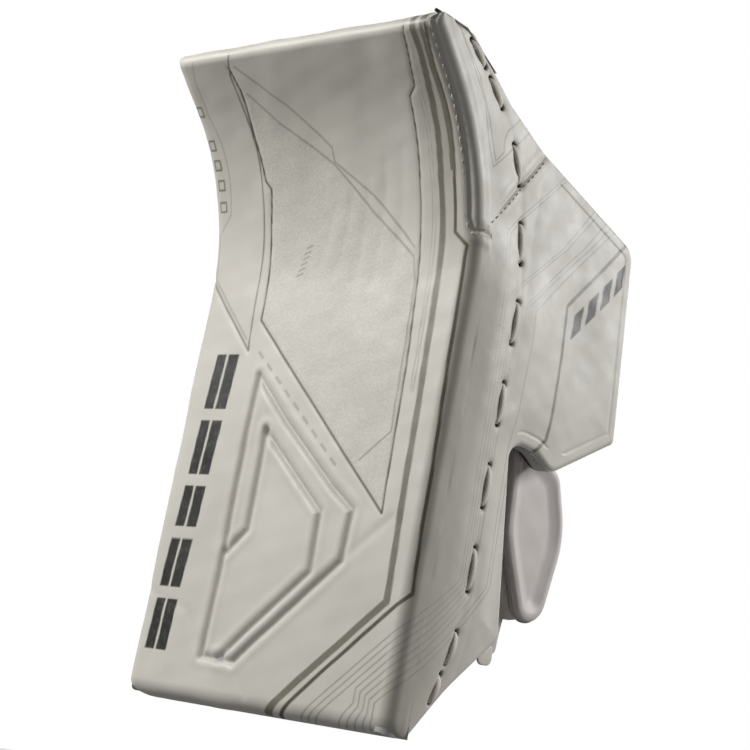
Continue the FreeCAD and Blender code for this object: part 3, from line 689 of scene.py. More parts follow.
GUSSET_EDGE_X = 97.4     # the corner gusset's seam on the face, in flat coordinates
GUSSET_FACE_SEAM = [(98.6, 381.0), (97.6, 340.0), (97.4, 273.0), (99.5, 267.0), (111.6, 264.5)]
GUSSET_SIDE_SEAM = [(-9.0, 264.8), (1.0, 268.5), (9.0, 278.0), (46.0, 327.5)]


def seam_relief(away):
    """A stitched seam: a valley with padding swelling beside it."""
    return 0.45 * near(away - 4.5, 2.5) - 0.9 * near(away, 1.1)


# ---- Side wall surface --------------------------------------------------------------
WALL_REAR = [
    (14.0, 0.0, 0), (16.0, 0.0, 2.0), (40.0, 28.0, 10.0), (74.0, 62.0, 9.0), (57.0, 167.0, 8.0),
    (78.0, 165.5, 14.0), (92.0, 157.0, 9.0), (141.0, 187.0, 5.0), (131.0, 299.0, 11.0),
    (44.0, 328.0, 30.0), (10.0, 342.0, 20.0), (-30.0, TOP_Z, 7.0), (-54.0, TOP_Z, 0),
]
WALL_PAIRS = [(14, 0, 0), (40, 28, 14), (74, 62, 45), (57, 167, 168), (78, 165.5, 185), (92, 157, 210),
              (141, 187, 229), (131, 299, 262), (44, 328, 300), (10, 342, 325), (-30, 366, 355),
              (-54, 366, 378)]
EDGE_ROLL = 3.2


def wall_rear_line():
    """The wall's rear outline from bottom to top, and the face height each point is ruled to."""
    line = rounded(WALL_REAR, 1.2)
    count = int(620 / STEP)
    line = resample(line, count, closed=False)
    run = np.arange(count)
    keys = [int(np.argmin(np.hypot(line[:, 0] - y, line[:, 1] - z))) for y, z, _ in WALL_PAIRS]
    return line, np.interp(run, keys, [s for _, _, s in WALL_PAIRS])


def wall_surface():
    """Outer face of the side wall, ruled from the face skin's edge to the rear outline."""
    rear, s = wall_rear_line()
    front_y, front_z = face_yz(WRAP_DEPTH - 0.15, s)
    front = np.stack([front_y, np.minimum(front_z, TOP_Z)], axis=1)
    count = int(105 / STEP)
    across = np.concatenate([np.linspace(0, 0.955, count), np.linspace(0.955, 1.0, 10)[1:]])
    plan = front[:, None, :] + (rear - front)[:, None, :] * across[None, :, None]
    y, z = plan[..., 0], plan[..., 1]
    edge = line_distance(y, z, [tuple(p) for p in rear[::max(1, int(3 / STEP))]] + [tuple(rear[-1])])
    edge[:, -1] = 0.0
    inset = EDGE_ROLL - np.sqrt(np.maximum(EDGE_ROLL ** 2 - np.maximum(EDGE_ROLL - edge, 0) ** 2, 0))
    depth = WRAP_DEPTH + np.hypot(y - y[:, :1], z - z[:, :1])
    stands_out = (1 - smooth(depth, 42.0, 95.0)) * smooth(edge, 0.0, 22.0)
    x = outer_x(y) - inset + bulge(depth, s[:, None]) * stands_out
    skirt = [np.stack([x[:, -1] - drop, y[:, -1], z[:, -1]], axis=1) for drop in (0.7, 1.4, 2.0)]
    points = np.concatenate([np.stack([x, y, z], axis=2), np.stack(skirt, axis=1)], axis=1)
    edge = np.concatenate([edge, np.zeros((len(rear), len(skirt)))], axis=1)
    return points, edge


def lace_stitches():
    """Distances along the face where each visible stitch starts and ends, from the bottom."""
    middle = [(81.5 + 45.0 * k, 104.0 + 45.0 * k) for k in range(4)]
    upper = [(256.0, 273.0), (290.0, 307.0), (324.0, 338.0), (344.0, 359.0)]
    return [(21.0, 36.0), (42.0, 59.0)] + middle + upper


LACE_DEPTH = 39.2        # how far behind the face the lacing runs, except near its two ends


def lace_point(s):
    """(y, z) of the lacing beside a height on the face; it comes forward at both ends."""
    depth = LACE_DEPTH - max(75.0 - s, 0.0) * 0.19 - max(s - 300.0, 0.0) * 0.28
    y, z = face_yz(depth, s)
    return float(y), float(z)


def lace_holes():
    return [lace_point(s) for stitch in lace_stitches() for s in stitch]


WING_BORDER = [(132, 311), (120, 297), (81.5, 250.5), (83.5, 222.5), (84, 186.5), (83, 174), (75, 164)]
WING_LINES = [
    [(31, 241.5), (69.5, 279.5), (93.5, 312.5)], [(33.5, 241.5), (74, 281.5), (97, 311.5)],
    [(44, 238), (87, 285.5), (103.5, 307.5)], [(46, 237.5), (92.5, 287.5), (108, 306)],
    [(54.5, 150), (55.5, 215), (54.5, 239), (98, 289.5), (112, 305)],
]
GUSSET_LINES = [
    [(-44, 364), (-25, 346), (-14, 334), (-4.5, 314), (2, 303.5), (10, 312.5), (28, 333.5)],
    [(-41.5, 362), (-22, 346), (-8.5, 327.5), (3, 307), (8, 314), (7, 321), (9, 326.5), (18, 337)],
]
WING_MARK = (89.0, 233.0)    # lower front corner of the row of slanted bars on the wing
MARK_PITCH = (9.9, 11.6)
MARK_HEIGHT = 14.5


def contour_on_wall(k):
    """The same eight lines on the side wall, in depth and height."""
    start = 68.5 - 4.7 * k
    if k > 5:
        right = 58.0 - 3.5 * (7 - k)
        return [(14.0, start), (right - 18.0, 88.0 - 24.0), (right - 1.5, 86.5), (right, 150.0)]
    bend = 30.5 + 2.3 * k
    line = [(14.0, start), (bend, 85.5 - 1.6 * k), (bend - 0.5, 117.0), (27.0 + 2.7 * k, 207.0)]
    if k < 2:
        line += [(25.5 + 2.5 * k, 240.0), (22.5 + 3.0 * k, 274.5), (32.5 + 2.5 * k, 286.0)]
        line.append((65.0 + 3.0 * k, 322.0))
    return line


def wall_print(y, z):
    """Print on the side wall, in depth and height, with painted shade over its front as far as the lacing and
    in the lace holes.
    """
    paint = np.zeros(y.shape + (4,))
    # painted shade over the wall's front, from the roll to the lacing, below the curl
    paint_over(paint, (1 - smooth(y, 25.0, 62.0)) * (1 - smooth(z, 250.0, 275.0)), ROLL_SHADE, 0.5)
    ink_line(paint, y, z, WING_BORDER, 2.1, OLIVE, 0.95)
    for line in WING_LINES + [contour_on_wall(k) for k in range(8)]:
        ink_line(paint, y, z, line, 0.75, FINE_GREY, 0.7)
    for line in GUSSET_LINES:
        ink_line(paint, y, z, line, 0.9, OLIVE, 0.7)
    run, rise = MARK_PITCH[0] * 0.66, MARK_PITCH[1] * 0.66
    for k in range(4):
        y0, z0 = WING_MARK[0] + MARK_PITCH[0] * k, WING_MARK[1] + MARK_PITCH[1] * k
        front = [(y0, z0), (y0 + run, z0 + rise)]
        ink_bar(paint, y, z, front + [(y0 + run, z0 + rise + MARK_HEIGHT), (y0, z0 + MARK_HEIGHT)])
    for hy, hz in lace_holes():
        # painted shade of each lace hole's opening
        paint_over(paint, 1 - smooth(np.hypot(y - hy, z - hz), 1.5, 2.2), HOLE_SHADE)
    return paint


def wall_relief(y, z, edge):
    """Padding height of the side wall, pulled in along the lacing."""
    away = line_distance(y, z, lace_holes())
    height = 0.3 * ripple(y, z, 60.0, 11) + 0.05 * ripple(y, z, 14.0, 12)
    height += 0.5 * smooth(edge, 2.0, 22.0) * smooth(away, 2.0, 18.0) - 0.4 * near(away, 3.0)
    for hy, hz in lace_holes():
        to_hole = np.hypot(y - hy, z - hz)
        height -= 0.6 * near(to_hole, 3.0) + 1.6 * (1 - smooth(to_hole, 1.2, 2.2))
    height -= 0.35 * near(edge - 7.5, 0.9) * (z > 170) * (y > 60)
    return height * smooth(edge, 0.2, 3.0)


def split_skin(points, print_and_shade_layer, panel, in_gusset, pieces):
    """Two pieces from one grid: the cells outside the gusset, and the cells in it."""
    rows, columns = in_gusset.shape
    for part, piece in enumerate(pieces):
        quads = grid_faces(rows, columns)[in_gusset[:-1, :-1].ravel() == bool(part)]
        used = np.unique(quads)
        number = np.full(rows * columns, -1)
        number[used] = np.arange(len(used))
        obj = new_object(piece, points.reshape(-1, 3)[used], number[quads])
        set_attribute(obj, "print", print_and_shade_layer.reshape(-1, 4)[used])
        set_attribute(obj, "panel", panel.ravel()[used])


def face_skin():
    """The printed skin of the striking face, and the front of the gusset."""
    points, x, s, depth = face_surface()
    height = face_relief(x, s) * (depth < 12.5)
    height += seam_relief(line_distance(x, s, GUSSET_FACE_SEAM)) * (s > 255)
    points = displaced(points, height * smooth(14.0 - depth, -0.5, 3.0))
    print_and_shade_layer = face_print(x, s) * (depth < WRAP_DEPTH + 0.1)[..., None]
    panel = smooth(inside(x, s, PANEL_HULL), -1.0, 1.0)
    in_gusset = (x > GUSSET_EDGE_X) & (s > 266.0)
    split_skin(points, print_and_shade_layer, panel, in_gusset, (Piece("face_skin", PRINTED_SHADED, node="front_skin"),
                                               Piece("gusset_front", PRINTED_SHADED)))


def wall_skin():
    """The printed skin of the side wall and the side of the gusset; gives back the wall's points."""
    points, edge = wall_surface()
    y, z = points[..., 1], points[..., 2]
    height = wall_relief(y, z, edge) + seam_relief(line_distance(y, z, GUSSET_SIDE_SEAM)) * smooth(edge, 0, 2)
    from_front = np.hypot(y - y[:, :1], z - z[:, :1])
    moved = displaced(points, height * smooth(from_front, 0.0, 16.0))
    in_gusset = (z > 264.8 + np.maximum(y - 1.0, 0) * 1.32) & (y < 47.0) & (z > 264.0)
    split_skin(moved, wall_print(y, z), np.zeros(y.shape), in_gusset,
               (Piece("wall_skin", PRINTED_SHADED, node="side_wall_skin"),
                Piece("gusset_side", PRINTED_SHADED, node="corner_gusset")))
    return moved


face_skin()
WALL_POINTS = wall_skin()


def wall_x(y, z):
    """Outside of the finished wall skin beside a point."""
    away = np.hypot(WALL_POINTS[..., 1] - y, WALL_POINTS[..., 2] - z)
    return float(WALL_POINTS[..., 0].ravel()[np.argmin(away)])


# ---- Stitching ----------------------------------------------------------------------
def stitch_row(name, points, normal_out, material, body="board", length=2.6, gap=1.6, radius=0.34):
    """Thread stitches laid along a line, each dipping into the leather at both ends."""
    points = np.asarray(points, float)
    normal_out = np.broadcast_to(np.asarray(normal_out, float), points.shape)
    run = travelled(points)
    verts, faces = [], []
    at = 0.0
    while at + length < run[-1]:
        faces += [tuple(f + len(verts)) for f in grid_faces(5, 6, wrap_columns=True)]
        for k in range(5):
            t = at + length * k / 4
            centre = point_at(t, run, points)
            up = unit(point_at(t, run, normal_out))
            forward = unit(point_at(t + 0.5, run, points) - point_at(t - 0.5, run, points))
            side = np.cross(forward, up)
            lift = radius * (1.7 * math.sin(math.pi * k / 4) - 0.9)
            size = radius * (0.55 if k in (0, 4) else 1.0)
            for j in range(6):
                angle = math.pi * j / 3
                verts.append(centre + up * (lift + size * math.sin(angle)) + side * size * math.cos(angle))
        at += length + gap
    return new_object(Piece(name, material, body), verts, faces)


def on_face(points):
    """Points on the face or its right roll from flat coordinates, with their outward directions."""
    out, normals = [], []
    for x, s in resample(np.array(points, float), 90, closed=False):
        past = x - (HALF_WIDTH - ROLL_RIGHT)
        across, depth, angle = right_roll(max(past, 0.0))
        y, z = face_yz(depth, s)
        y2, z2 = face_yz(depth - 1.0, s)
        out.append((across + min(past, 0.0) + float(bulge(depth, s)), float(y), float(z)))
        front = np.array([0.0, float(y2 - y), float(z2 - z)]) * math.cos(angle)
        normals.append(front + np.array([math.sin(angle), 0, 0]))
    return np.array(out), np.array(normals)


def gusset_stitching():
    """The gusset's seam, over the roll of the face and down the side wall."""
    over_roll = [(96.4, 379.0), (95.6, 340.0), (94.4, 300.0), (94.0, 274.0), (97.0, 266.0), (102.5, 262.5)]
    front, up = on_face(over_roll)
    stitch_row("gusset_stitching_front", front, up, PALE_THREAD, length=4.2, gap=1.5, radius=0.5)
    plan = resample(np.array([(-6.0, 262.0), (2.5, 266.0), (10.8, 276.5), (46.0, 324.2)]), 80, closed=False)
    side = [(wall_x(y, z) + 0.1, y, z) for y, z in plan[6:]]
    stitch_row("gusset_stitching_side", side, (1, 0, 0), PALE_THREAD, length=3.0, gap=1.4)


# ---- Lacing -------------------------------------------------------------------------
def lacing():
    """The visible runs of lace, each from hole to hole over the pulled-in leather."""
    t = np.linspace(0, 1, 23)
    bow = np.sin(math.pi * t)
    for number, (s0, s1) in enumerate(lace_stitches(), start=1):
        (y0, z0), (y1, z1) = lace_point(s0), lace_point(s1)
        x = wall_x((y0 + y1) / 2, (z0 + z1) / 2) - 3.2 + 4.2 * np.maximum(bow, 0.0) ** 0.35
        path = np.stack([x, y0 + (y1 - y0) * t, z0 + (z1 - z0) * t], axis=1)
        radii = 1.6 + 0.4 * bow + 0.06 * np.sin(math.pi * t * 3.0 + s0)
        piece = Piece("lace_run_%02d" % number, LACE, node="side_lace" if number == 1 else None)
        tube(piece, path, radii, segments=14, flat=0.5, side=(1.0, 0.0, 0.0))


gusset_stitching()
lacing()

# ---- Lining, back cover and piping of the board -------------------------------------
def wall_lining():
    """Black lining over the inner face of the side wall and the inner half of its edge."""
    rear, s = wall_rear_line()
    rear, s = rear[::2], s[::2]
    front_y, front_z = face_yz(20.0, s)
    front = np.stack([np.minimum(front_y, rear[:, 0] - 1.0), np.minimum(front_z, TOP_Z)], axis=1)
    across = np.concatenate([np.linspace(0, 0.9, 40), np.linspace(0.9, 0.985, 8)[1:]])
    sheets = []
    for t in across[:, None, None] * (rear - front) + front:
        sheets.append(np.stack([outer_x(t[:, 0]) - WALL - 0.1, t[:, 0], t[:, 1]], axis=1))
    along = unit(np.gradient(rear, axis=0))
    outward = np.stack([-along[:, 1], along[:, 0]], axis=1)
    for drop, pull in ((11.6, 0.25), (10.6, 0.05), (8.5, 0.0), (6.5, 0.0), (4.6, 0.0)):
        plan = rear + outward * (pull + 0.12)
        sheets.append(np.stack([outer_x(rear[:, 0]) - drop, plan[:, 0], plan[:, 1]], axis=1))
    grid = np.stack(sheets, axis=1)
    y, z = grid[..., 1], grid[..., 2]
    lift = 0.5 * ripple(y, z, 40.0, 21) + 0.25 * ripple(y, z, 13.0, 22)
    for hy, hz in lace_holes():
        lift -= 0.8 * near(np.hypot(y - hy, z - hz), 4.0)
    flat = np.arange(grid.shape[1])[None, :] < 44
    grid[..., 0] -= np.where(flat, np.maximum(lift * 0.5, -0.2), 0.0)
    new_object(Piece("wall_lining", LINING, node="side_wall_liner", slot="black_fabric"), grid.reshape(-1, 3),
               grid_faces(*grid.shape[:2], flip=True))
    y = np.linspace(-61.0, -43.0, 30)
    top = np.stack([97.5 + 0.6 * np.sin(y * 0.3), y, np.full(30, TOP_Z + 0.5)], axis=1)
    tube(Piece("lining_top_edge", BLACK), top, 1.0, segments=8)


def board_back():
    """Knit cover on the board's back, with rows of quilting."""
    left, right, low = -99.6, 89.2, 16.0
    xx, ss = np.meshgrid(np.arange(left, right, 2.0 * STEP), np.arange(low, FACE_LENGTH + 20, 2.0 * STEP))
    margin = np.minimum(np.minimum(xx - left, right - xx), ss - low)
    rise = 0.5 * ripple(xx, ss, 50.0, 31) + 0.2 * ripple(xx, ss, 16.0, 32) + 0.8
    rise *= smooth(margin, 0.0, 14.0)
    for line in ([(-70, 0), (-70, 400)], [(80, 0), (80, 165)], [(-99, 120), (90, 120)]):
        rise -= 0.9 * near(line_distance(xx, ss, line), 1.6)
    y, z = face_yz(THICKNESS - 0.1 + rise * 0.8, ss)
    limit = top_limit(y)
    stop = int(np.argmax(z[:, 0] > limit[:, 0])) + 1
    grid = np.stack([xx, y, np.minimum(z, limit)], axis=2)[:stop]
    new_object(Piece("back_cover_knit", LINING, node="back_cover"), grid.reshape(-1, 3),
               grid_faces(*grid.shape[:2], flip=True))


def piping(name, node, y, z):
    """Leather piping with a slight hand-sewn waver."""
    x = np.linspace(-84.5, 82.5, 90)
    waver = 0.18 * np.sin(x * 0.21) + 0.1 * np.sin(x * 0.63 + 1.0)
    radii = 1.35 + 0.08 * np.sin(x * 0.9)
    radii[[0, -1]] = 0.5
    path = np.stack([x, y + waver * 0.4, z + waver], axis=1)
    tube(Piece(name, PIPING, node=node), path, radii, segments=12)


# ---- Soft goods builders ------------------------------------------------------------
def pillow(piece, outline, place, low, high, crown, edge=1.2, rings=14, relief=None):
    """A closed padded sheet: `outline` in (u, v), heights from `low` to `high`, domed by `crown`."""
    centre = outline.mean(axis=0)
    edge = min(edge, (high - low) / 2 * 0.98)
    inset = edge / np.linalg.norm(outline - centre, axis=1).mean()
    rim = [(edge * (1 - math.cos(a)), 1 - inset * (1 - math.sin(a))) for a in np.arange(1, 4) * math.pi / 8]
    layers = [(k / rings * (1 - inset), low, -0.15 * crown) for k in range(rings + 1)]
    layers += [(scale, low + rise, 0.0) for rise, scale in rim]
    layers += [(1.0, low + edge + (high - low - 2 * edge) * k / 4, 0.0) for k in range(5)]
    layers += [(scale, high - rise, 0.0) for rise, scale in rim[::-1]]
    layers += [(k / rings * (1 - inset), high, crown) for k in range(rings, -1, -1)]
    verts = []
    for scale, level, dome in layers:
        loop = centre + (outline - centre) * max(scale, 0.004)
        height = np.full(len(loop), level + dome * (1 - scale ** 2.2))
        if relief is not None and dome > 0:
            height += relief(loop[:, 0], loop[:, 1]) * min(1.0, (1 - scale) * 6)
        verts += [place(u, v, h) for (u, v), h in zip(loop, height)]
    return new_object(piece, verts, capped_faces(len(layers), len(outline)))


def band_section(thickness, z0, z1, edge):
    """(offset, height, is on the outside) round a band's rounded section."""
    rise = max(6, int((z1 - z0) / (2.0)))
    levels = [z0 + edge + (z1 - z0 - 2 * edge) * k / rise for k in range(rise + 1)]
    nick = edge * 0.3
    section = [(0.0, z, False) for z in levels]
    section += [(x, z, False) for x, z in (
        (nick, z1 - nick), (edge, z1), (thickness - edge, z1), (thickness - nick, z1 - nick))]
    section += [(thickness, z, True) for z in levels[::-1]]
    return section + [(x, z, False) for x, z in (
        (thickness - nick, z0 + nick), (thickness - edge, z0), (edge, z0), (nick, z0 + nick))]


def wall_band(piece, path, thickness, z0, z1, edge=0.9, puff=0.0, channels=(), relief_seed=None):
    """A padded band standing on a plan path; `thickness` is measured to the outward side."""
    path = np.asarray(path, float)
    along = unit(np.gradient(path, axis=0))
    outward = np.stack([along[:, 1], -along[:, 0]], axis=1)
    run = travelled(path)
    ends = smooth(run, 0.0, 6.0) * smooth(run[-1] - run, 0.0, 6.0)
    section = band_section(thickness, z0, z1, min(edge, thickness * 0.48, (z1 - z0) * 0.48))
    grid = []
    for offset, z, outside in section:
        swell = np.zeros(len(path))
        if outside:
            swell += puff * math.sin(math.pi * (z - z0) / (z1 - z0)) ** 0.6 * ends
            for level in channels:
                swell -= 0.75 * puff * near(z - level, 1.8)
            if relief_seed is not None:
                swell += 0.3 * ripple(run, np.full(len(run), z), 18.0, relief_seed)
        points = path + outward * (offset + swell)[:, None]
        grid.append(np.column_stack([points, np.full(len(path), z)]))
    starts = np.arange(len(section)) * len(path)
    faces = list(grid_faces(len(section), len(path), wrap_rows=True)) + [starts, starts[::-1] + len(path) - 1]
    return new_object(piece, np.concatenate(grid), faces)


def sleeve(piece, path, radii, wall, segments=28, wrinkle=0.25, seed=1):
    """A glove finger: outer wall from open base to round tip, and an inner wall at the base."""
    path = np.asarray(path, float)
    radii = np.broadcast_to(np.asarray(radii, float), (len(path),))
    along = unit(np.gradient(path, axis=0))
    angles = np.linspace(0, 2 * math.pi, segments, endpoint=False)
    side = np.array([1.0, 0.0, 0.0])
    run = travelled(path)
    mouth = [(point_at(depth, run, path), 1.0) for depth in (14.0, 9.0, 4.0)]
    mouth += [(path[0], 0.8), (path[0] - along[0] * 0.5, 0.5), (path[0], 0.1)]
    rings = [ring(at, along[0], radii[0] - wall * part, angles, side) for at, part in mouth]
    for k in range(1, len(path)):
        wobble = wrinkle * (ripple(run[k] * np.ones(segments), np.cos(angles) * 9, 7.0, seed) - 0.8)
        wobble -= 0.35 * near(np.abs(angles - math.pi) - math.pi / 2, 0.09)
        rings.append(ring(path[k], along[k], radii[k] + np.minimum(wobble, 0.05), angles, side))
    for k in range(1, 8):
        angle = math.pi / 2 * k / 8
        at = path[-1] + along[-1] * radii[-1] * math.sin(angle)
        rings.append(ring(at, along[-1], radii[-1] * math.cos(angle) - 0.1, angles, side))
    return new_object(piece, np.concatenate(rings), capped_faces(len(rings), segments, inward=True))


def loft(name, rings):
    """An open fabric sleeve through rings of points, on no body, with its placing baked into the mesh."""
    faces = grid_faces(len(rings), len(rings[0]), wrap_columns=True)
    obj = new_object(Piece(name, BLACK, body=None), np.concatenate(rings), faces)
    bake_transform(obj)


def apply_modifier(obj, name, kind, **settings):
    modifier = obj.modifiers.new(name, kind)
    for key, value in settings.items():
        setattr(modifier, key, value)
    bpy.context.view_layer.objects.active = obj
    bpy.ops.object.modifier_apply(modifier=modifier.name)


def puffed(obj, cap, voxel=4.0, frames=20):
    """Swell a closed pad like stuffed fabric with a short cloth simulation."""
    before = np.array([v.co for v in obj.data.vertices])
    scene = bpy.context.scene
    apply_modifier(obj, "remesh", "REMESH", mode="VOXEL", voxel_size=voxel * MM)
    rest = np.array([v.co for v in obj.data.vertices])
    cloth = obj.modifiers.new("cloth", "CLOTH")
    cloth.settings.use_pressure = True
    cloth.settings.uniform_pressure_force = 4.0
    cloth.settings.effector_weights.gravity = 0.0
    cloth.settings.tension_stiffness = 12.0
    cloth.settings.bending_stiffness = 0.6
    cloth.point_cache.frame_start = 1
    cloth.point_cache.frame_end = frames
    for frame_number in range(1, frames + 1):
        scene.frame_set(frame_number)
    evaluated = obj.evaluated_get(bpy.context.evaluated_depsgraph_get())
    moved = np.array([v.co for v in evaluated.data.vertices])
    obj.modifiers.remove(cloth)
    scene.frame_set(1)
    shift = moved - rest
    reach = np.linalg.norm(shift, axis=1, keepdims=True)
    shift *= np.minimum(1.0, cap * MM / np.maximum(reach, 1e-9))
    margin = cap * 0.6 * MM
    final = np.clip(rest + shift, before.min(axis=0) - margin, before.max(axis=0) + margin)
    obj.data.vertices.foreach_set("co", final.ravel())
    apply_modifier(obj, "soften", "SMOOTH", iterations=3, factor=0.5)
    apply_modifier(obj, "finer", "SUBSURF", levels=1)
    obj.data.polygons.foreach_set("use_smooth", [True] * len(obj.data.polygons))
    obj.data.update()


wall_lining()
board_back()
piping("bottom_piping", "bottom_binding", 35.4, 18.5)
piping("top_piping", "top_binding", -6.2, 354.2)


# ---- Hand pocket --------------------------------------------------------------------
POCKET_X = (-30.0, 62.0)
POCKET_Z = (172.0, 252.0)
FABRIC = 3.0
PALM_CREASES = ([(-30, 214), (10, 226), (62, 216)], [(-20, 196), (20, 206), (60, 190)],
                [(18, 172), (28, 250)])


def in_xz(u, v, h):
    """A sheet that lies across the hand, rising towards the palm."""
    return (u, h, v)


def in_yz_at(u, v, h):
    """A sheet that stands beside the index finger, rising towards the thumb side."""
    return (h, u, v)


def loop_through(corners, count):
    """Evenly spaced points round an outline of (a, b, radius) corners."""
    return resample(rounded(corners), count)


def rectangle(x0, x1, z0, z1, corner, count=120):
    return loop_through([(x0, z0, corner), (x1, z0, corner), (x1, z1, corner), (x0, z1, corner)], count)


def palm_relief(u, v):
    """Height of the palm leather, creased where the hand closes."""
    deep = 0.55 * ripple(u, v * 0.6, 26.0, 41)
    for line in PALM_CREASES:
        deep = deep - 0.7 * near(line_distance(u, v, line), 1.8)
    return deep


def hand_pocket():
    """Pad, wrapped fabric and palm of the glove's hand."""
    x0, x1 = POCKET_X
    pad = pillow(Piece("hand_pad_foam", BLACK, node="hand_pad"),
                 rectangle(x0 + 1.5, x1 - 1.5, 177.5, 248.5, 8.0), in_xz, 34.8, 45.2, 1.0, edge=3.5)
    puffed(pad, 2.0)
    side = np.linspace(81.5, 53.0, 14)
    turn = np.linspace(0, math.pi / 2, 8)[1:]
    path = [(x1 + FABRIC - 0.2, y) for y in side]
    path += [(x1 - 3.0 + 6.0 * math.cos(a) - 0.2, 53.2 - 6.0 * math.sin(a)) for a in turn]
    path += [(x, 47.2) for x in np.linspace(x1 - 5, x0 + 5, 44)]
    path += [(x0 + 3.0 - 6.0 * math.sin(a) + 0.2, 53.2 - 6.0 * math.cos(a)) for a in turn]
    path += [(x0 - FABRIC + 0.2, y) for y in side[::-1]]
    wall_band(Piece("hand_back_fabric", BLACK, node="hand_back"), path, 2.8, *POCKET_Z, edge=1.2)
    pillow(Piece("palm_leather", PALM, node="palm"), rectangle(x0 - 3, x1 + 3, *POCKET_Z, 7.0, 160), in_xz,
           82.15, 83.9, 0.5, edge=0.8, rings=34, relief=palm_relief)
    pillow(Piece("palm_grip_patch", GRIP, node="palm_grip"),
           rectangle(x0 + 4.5, x1 - 8.5, 176.5, 237.5, 14.0, 140), in_xz, 84.6, 85.9, 0.6, edge=0.6, rings=30,
           relief=palm_relief)
    for name, line, y, thread in (
            ("palm_grip_stitching", rectangle(x0 + 7, x1 - 11, 179, 235, 12, 200), 86.2, THREAD),
            ("palm_edge_stitching", rectangle(x0 - 0.5, x1 + 0.5, 174.5, 249.5, 6, 240), 84.05, DARK_THREAD)):
        closed = [(x, y, z) for x, z in np.vstack([line, line[:1]])]
        stitch_row(name, closed, (0, 1, 0), thread, length=2.4, gap=1.3)


hand_pocket()


# ---- Fingers ------------------------------------------------------------------------
FINGER_RADIUS = 10.9
CURL = 30.0
KNUCKLE_Y, KNUCKLE_Z = 66.0, 174.0
INDEX_BASE = np.array([58.0, 74.0, 160.0])
INDEX_TIP = np.array([76.0, 112.0, 92.0])
THUMB_BASE = np.array([76.0, 70.0, 246.0])
THUMB_TIP = np.array([76.0, 108.0, 196.0])
GRIPPING = (("middle_finger", "middle_stall", 35.0, 51), ("ring_finger", "ring_stall", 12.0, 52),
            ("little_finger", "little_stall", -11.0, 53))
SHIELD = [(79.0, 175.0, 6.0), (102.0, 174.0, 8.0), (124.0, 163.0, 10.0), (138.0, 130.0, 50.0),
          (128.0, 79.0, 14.0), (108.0, 76.5, 12.0), (84.0, 120.0, 40.0)]
FLAP = [(84.5, 97.5, 1.0), (107.5, 90.0, 1.0), (104.3, 66.0, 3.0), (103.8, 55.8, 3.0), (88.3, 57.2, 3.0)]
TAB = [(86.2, 58.0, 3.0), (87.2, 48.2, 4.0), (99.8, 49.2, 4.0), (98.8, 60.8, 3.0)]


def gripping_finger(body, node, x, seed):
    """A curled leather finger with folds inside each joint, and stitched side seams."""
    bend_z = KNUCKLE_Z - 24.0
    path = [(x, KNUCKLE_Y, z) for z in np.linspace(KNUCKLE_Z - 3.2, bend_z, 12)]
    for angle in np.radians(np.linspace(0, 165, 46))[1:]:
        path.append((x, KNUCKLE_Y + CURL - CURL * math.cos(angle), bend_z - CURL * math.sin(angle)))
    path = np.array(path)
    run = np.linspace(0, 1, len(path))
    radii = FINGER_RADIUS - 0.25 - 0.5 * near(run - 0.42, 0.03) - 0.5 * near(run - 0.72, 0.03)
    radii -= 0.5 * smooth(run, 0.7, 1.0)
    sleeve(Piece(body + "_leather", PALM, body, node), path, radii, 1.8, wrinkle=0.4, seed=seed)
    for sign, label in ((1, "right"), (-1, "left")):
        seam = path + np.array([sign, 0, 0]) * (radii - 0.55)[:, None]
        stitch_row("%s_seam_%s" % (body, label), seam[2:], (sign, 0, 0), DARK_THREAD, body, 1.9, 1.1, 0.28)


def pressed_flat(obj, start, limit):
    """Squash the part of a piece beyond x = start, so that it stays short of x = limit (mm)."""
    room = (limit - start) * MM
    for vertex in obj.data.vertices:
        past = vertex.co.x - start * MM
        if past > 0:
            vertex.co.x = start * MM + room * math.tanh(past / room)


def index_finger():
    """Straight finger inside a thick foam cup."""
    axis = INDEX_TIP - INDEX_BASE
    path = [INDEX_BASE + axis * t for t in np.linspace(0, 1, 34)]
    stall_piece = Piece("index_leather", PALM, "index_finger", "index_stall")
    stall = sleeve(stall_piece, path, 10.6, 1.8, wrinkle=0.3, seed=55)
    pressed_flat(stall, 79.0, 83.0)
    path = [INDEX_BASE + axis * t for t in np.linspace(0.5, 1, 26)]
    run = np.linspace(0, 1, 26)
    radii = 15.0 + 0.5 * np.sin(math.pi * run) - 1.6 * near(run, 0.08)
    cup_piece = Piece("index_cup_pad", BLUSH, "index_finger", "index_cup")
    cup = sleeve(cup_piece, path, radii, 4.0, segments=44, wrinkle=0.12, seed=56)
    pressed_flat(cup, 80.0, 84.1)


def index_guard():
    """The padded plate on the finger's thumb side, with its piping, flap and pull tab."""
    outline = loop_through(SHIELD, 170)

    def dish(u, v):
        around = line_distance(u, v, [tuple(p) for p in outline[::3]], closed=True)
        return 0.8 * near(around - 3.5, 2.0) - 2.2 * smooth(around, 4.0, 13.0) + 0.15 * ripple(u, v, 22.0, 57)

    shield = Piece("index_shield_pad", BLUSH, "index_finger", "index_shield")
    pillow(shield, outline, in_yz_at, 84.2, 89.2, 0.05, edge=2.4, rings=26, relief=dish)
    piping_line = [(85.2, y, z) for y, z in np.vstack([outline, outline[:1]])]
    tube(Piece("index_shield_piping", PIPING, "index_finger"), piping_line, 0.9, segments=8, cap=False)
    flap = Piece("index_flap_fabric", BLUSH, "index_finger", "index_flap", "black_fabric")
    pillow(flap, loop_through(FLAP, 90), in_yz_at, 77.9, 79.6, 0.5, edge=0.7, rings=16,
           relief=lambda u, v: 0.4 * ripple(u, v, 12.0, 58))
    tab = Piece("index_pull_tab", LEATHER, "index_finger", "index_tab")
    pillow(tab, loop_through(TAB, 60), in_yz_at, 80.15, 81.5, 0.3, edge=0.6, rings=8)


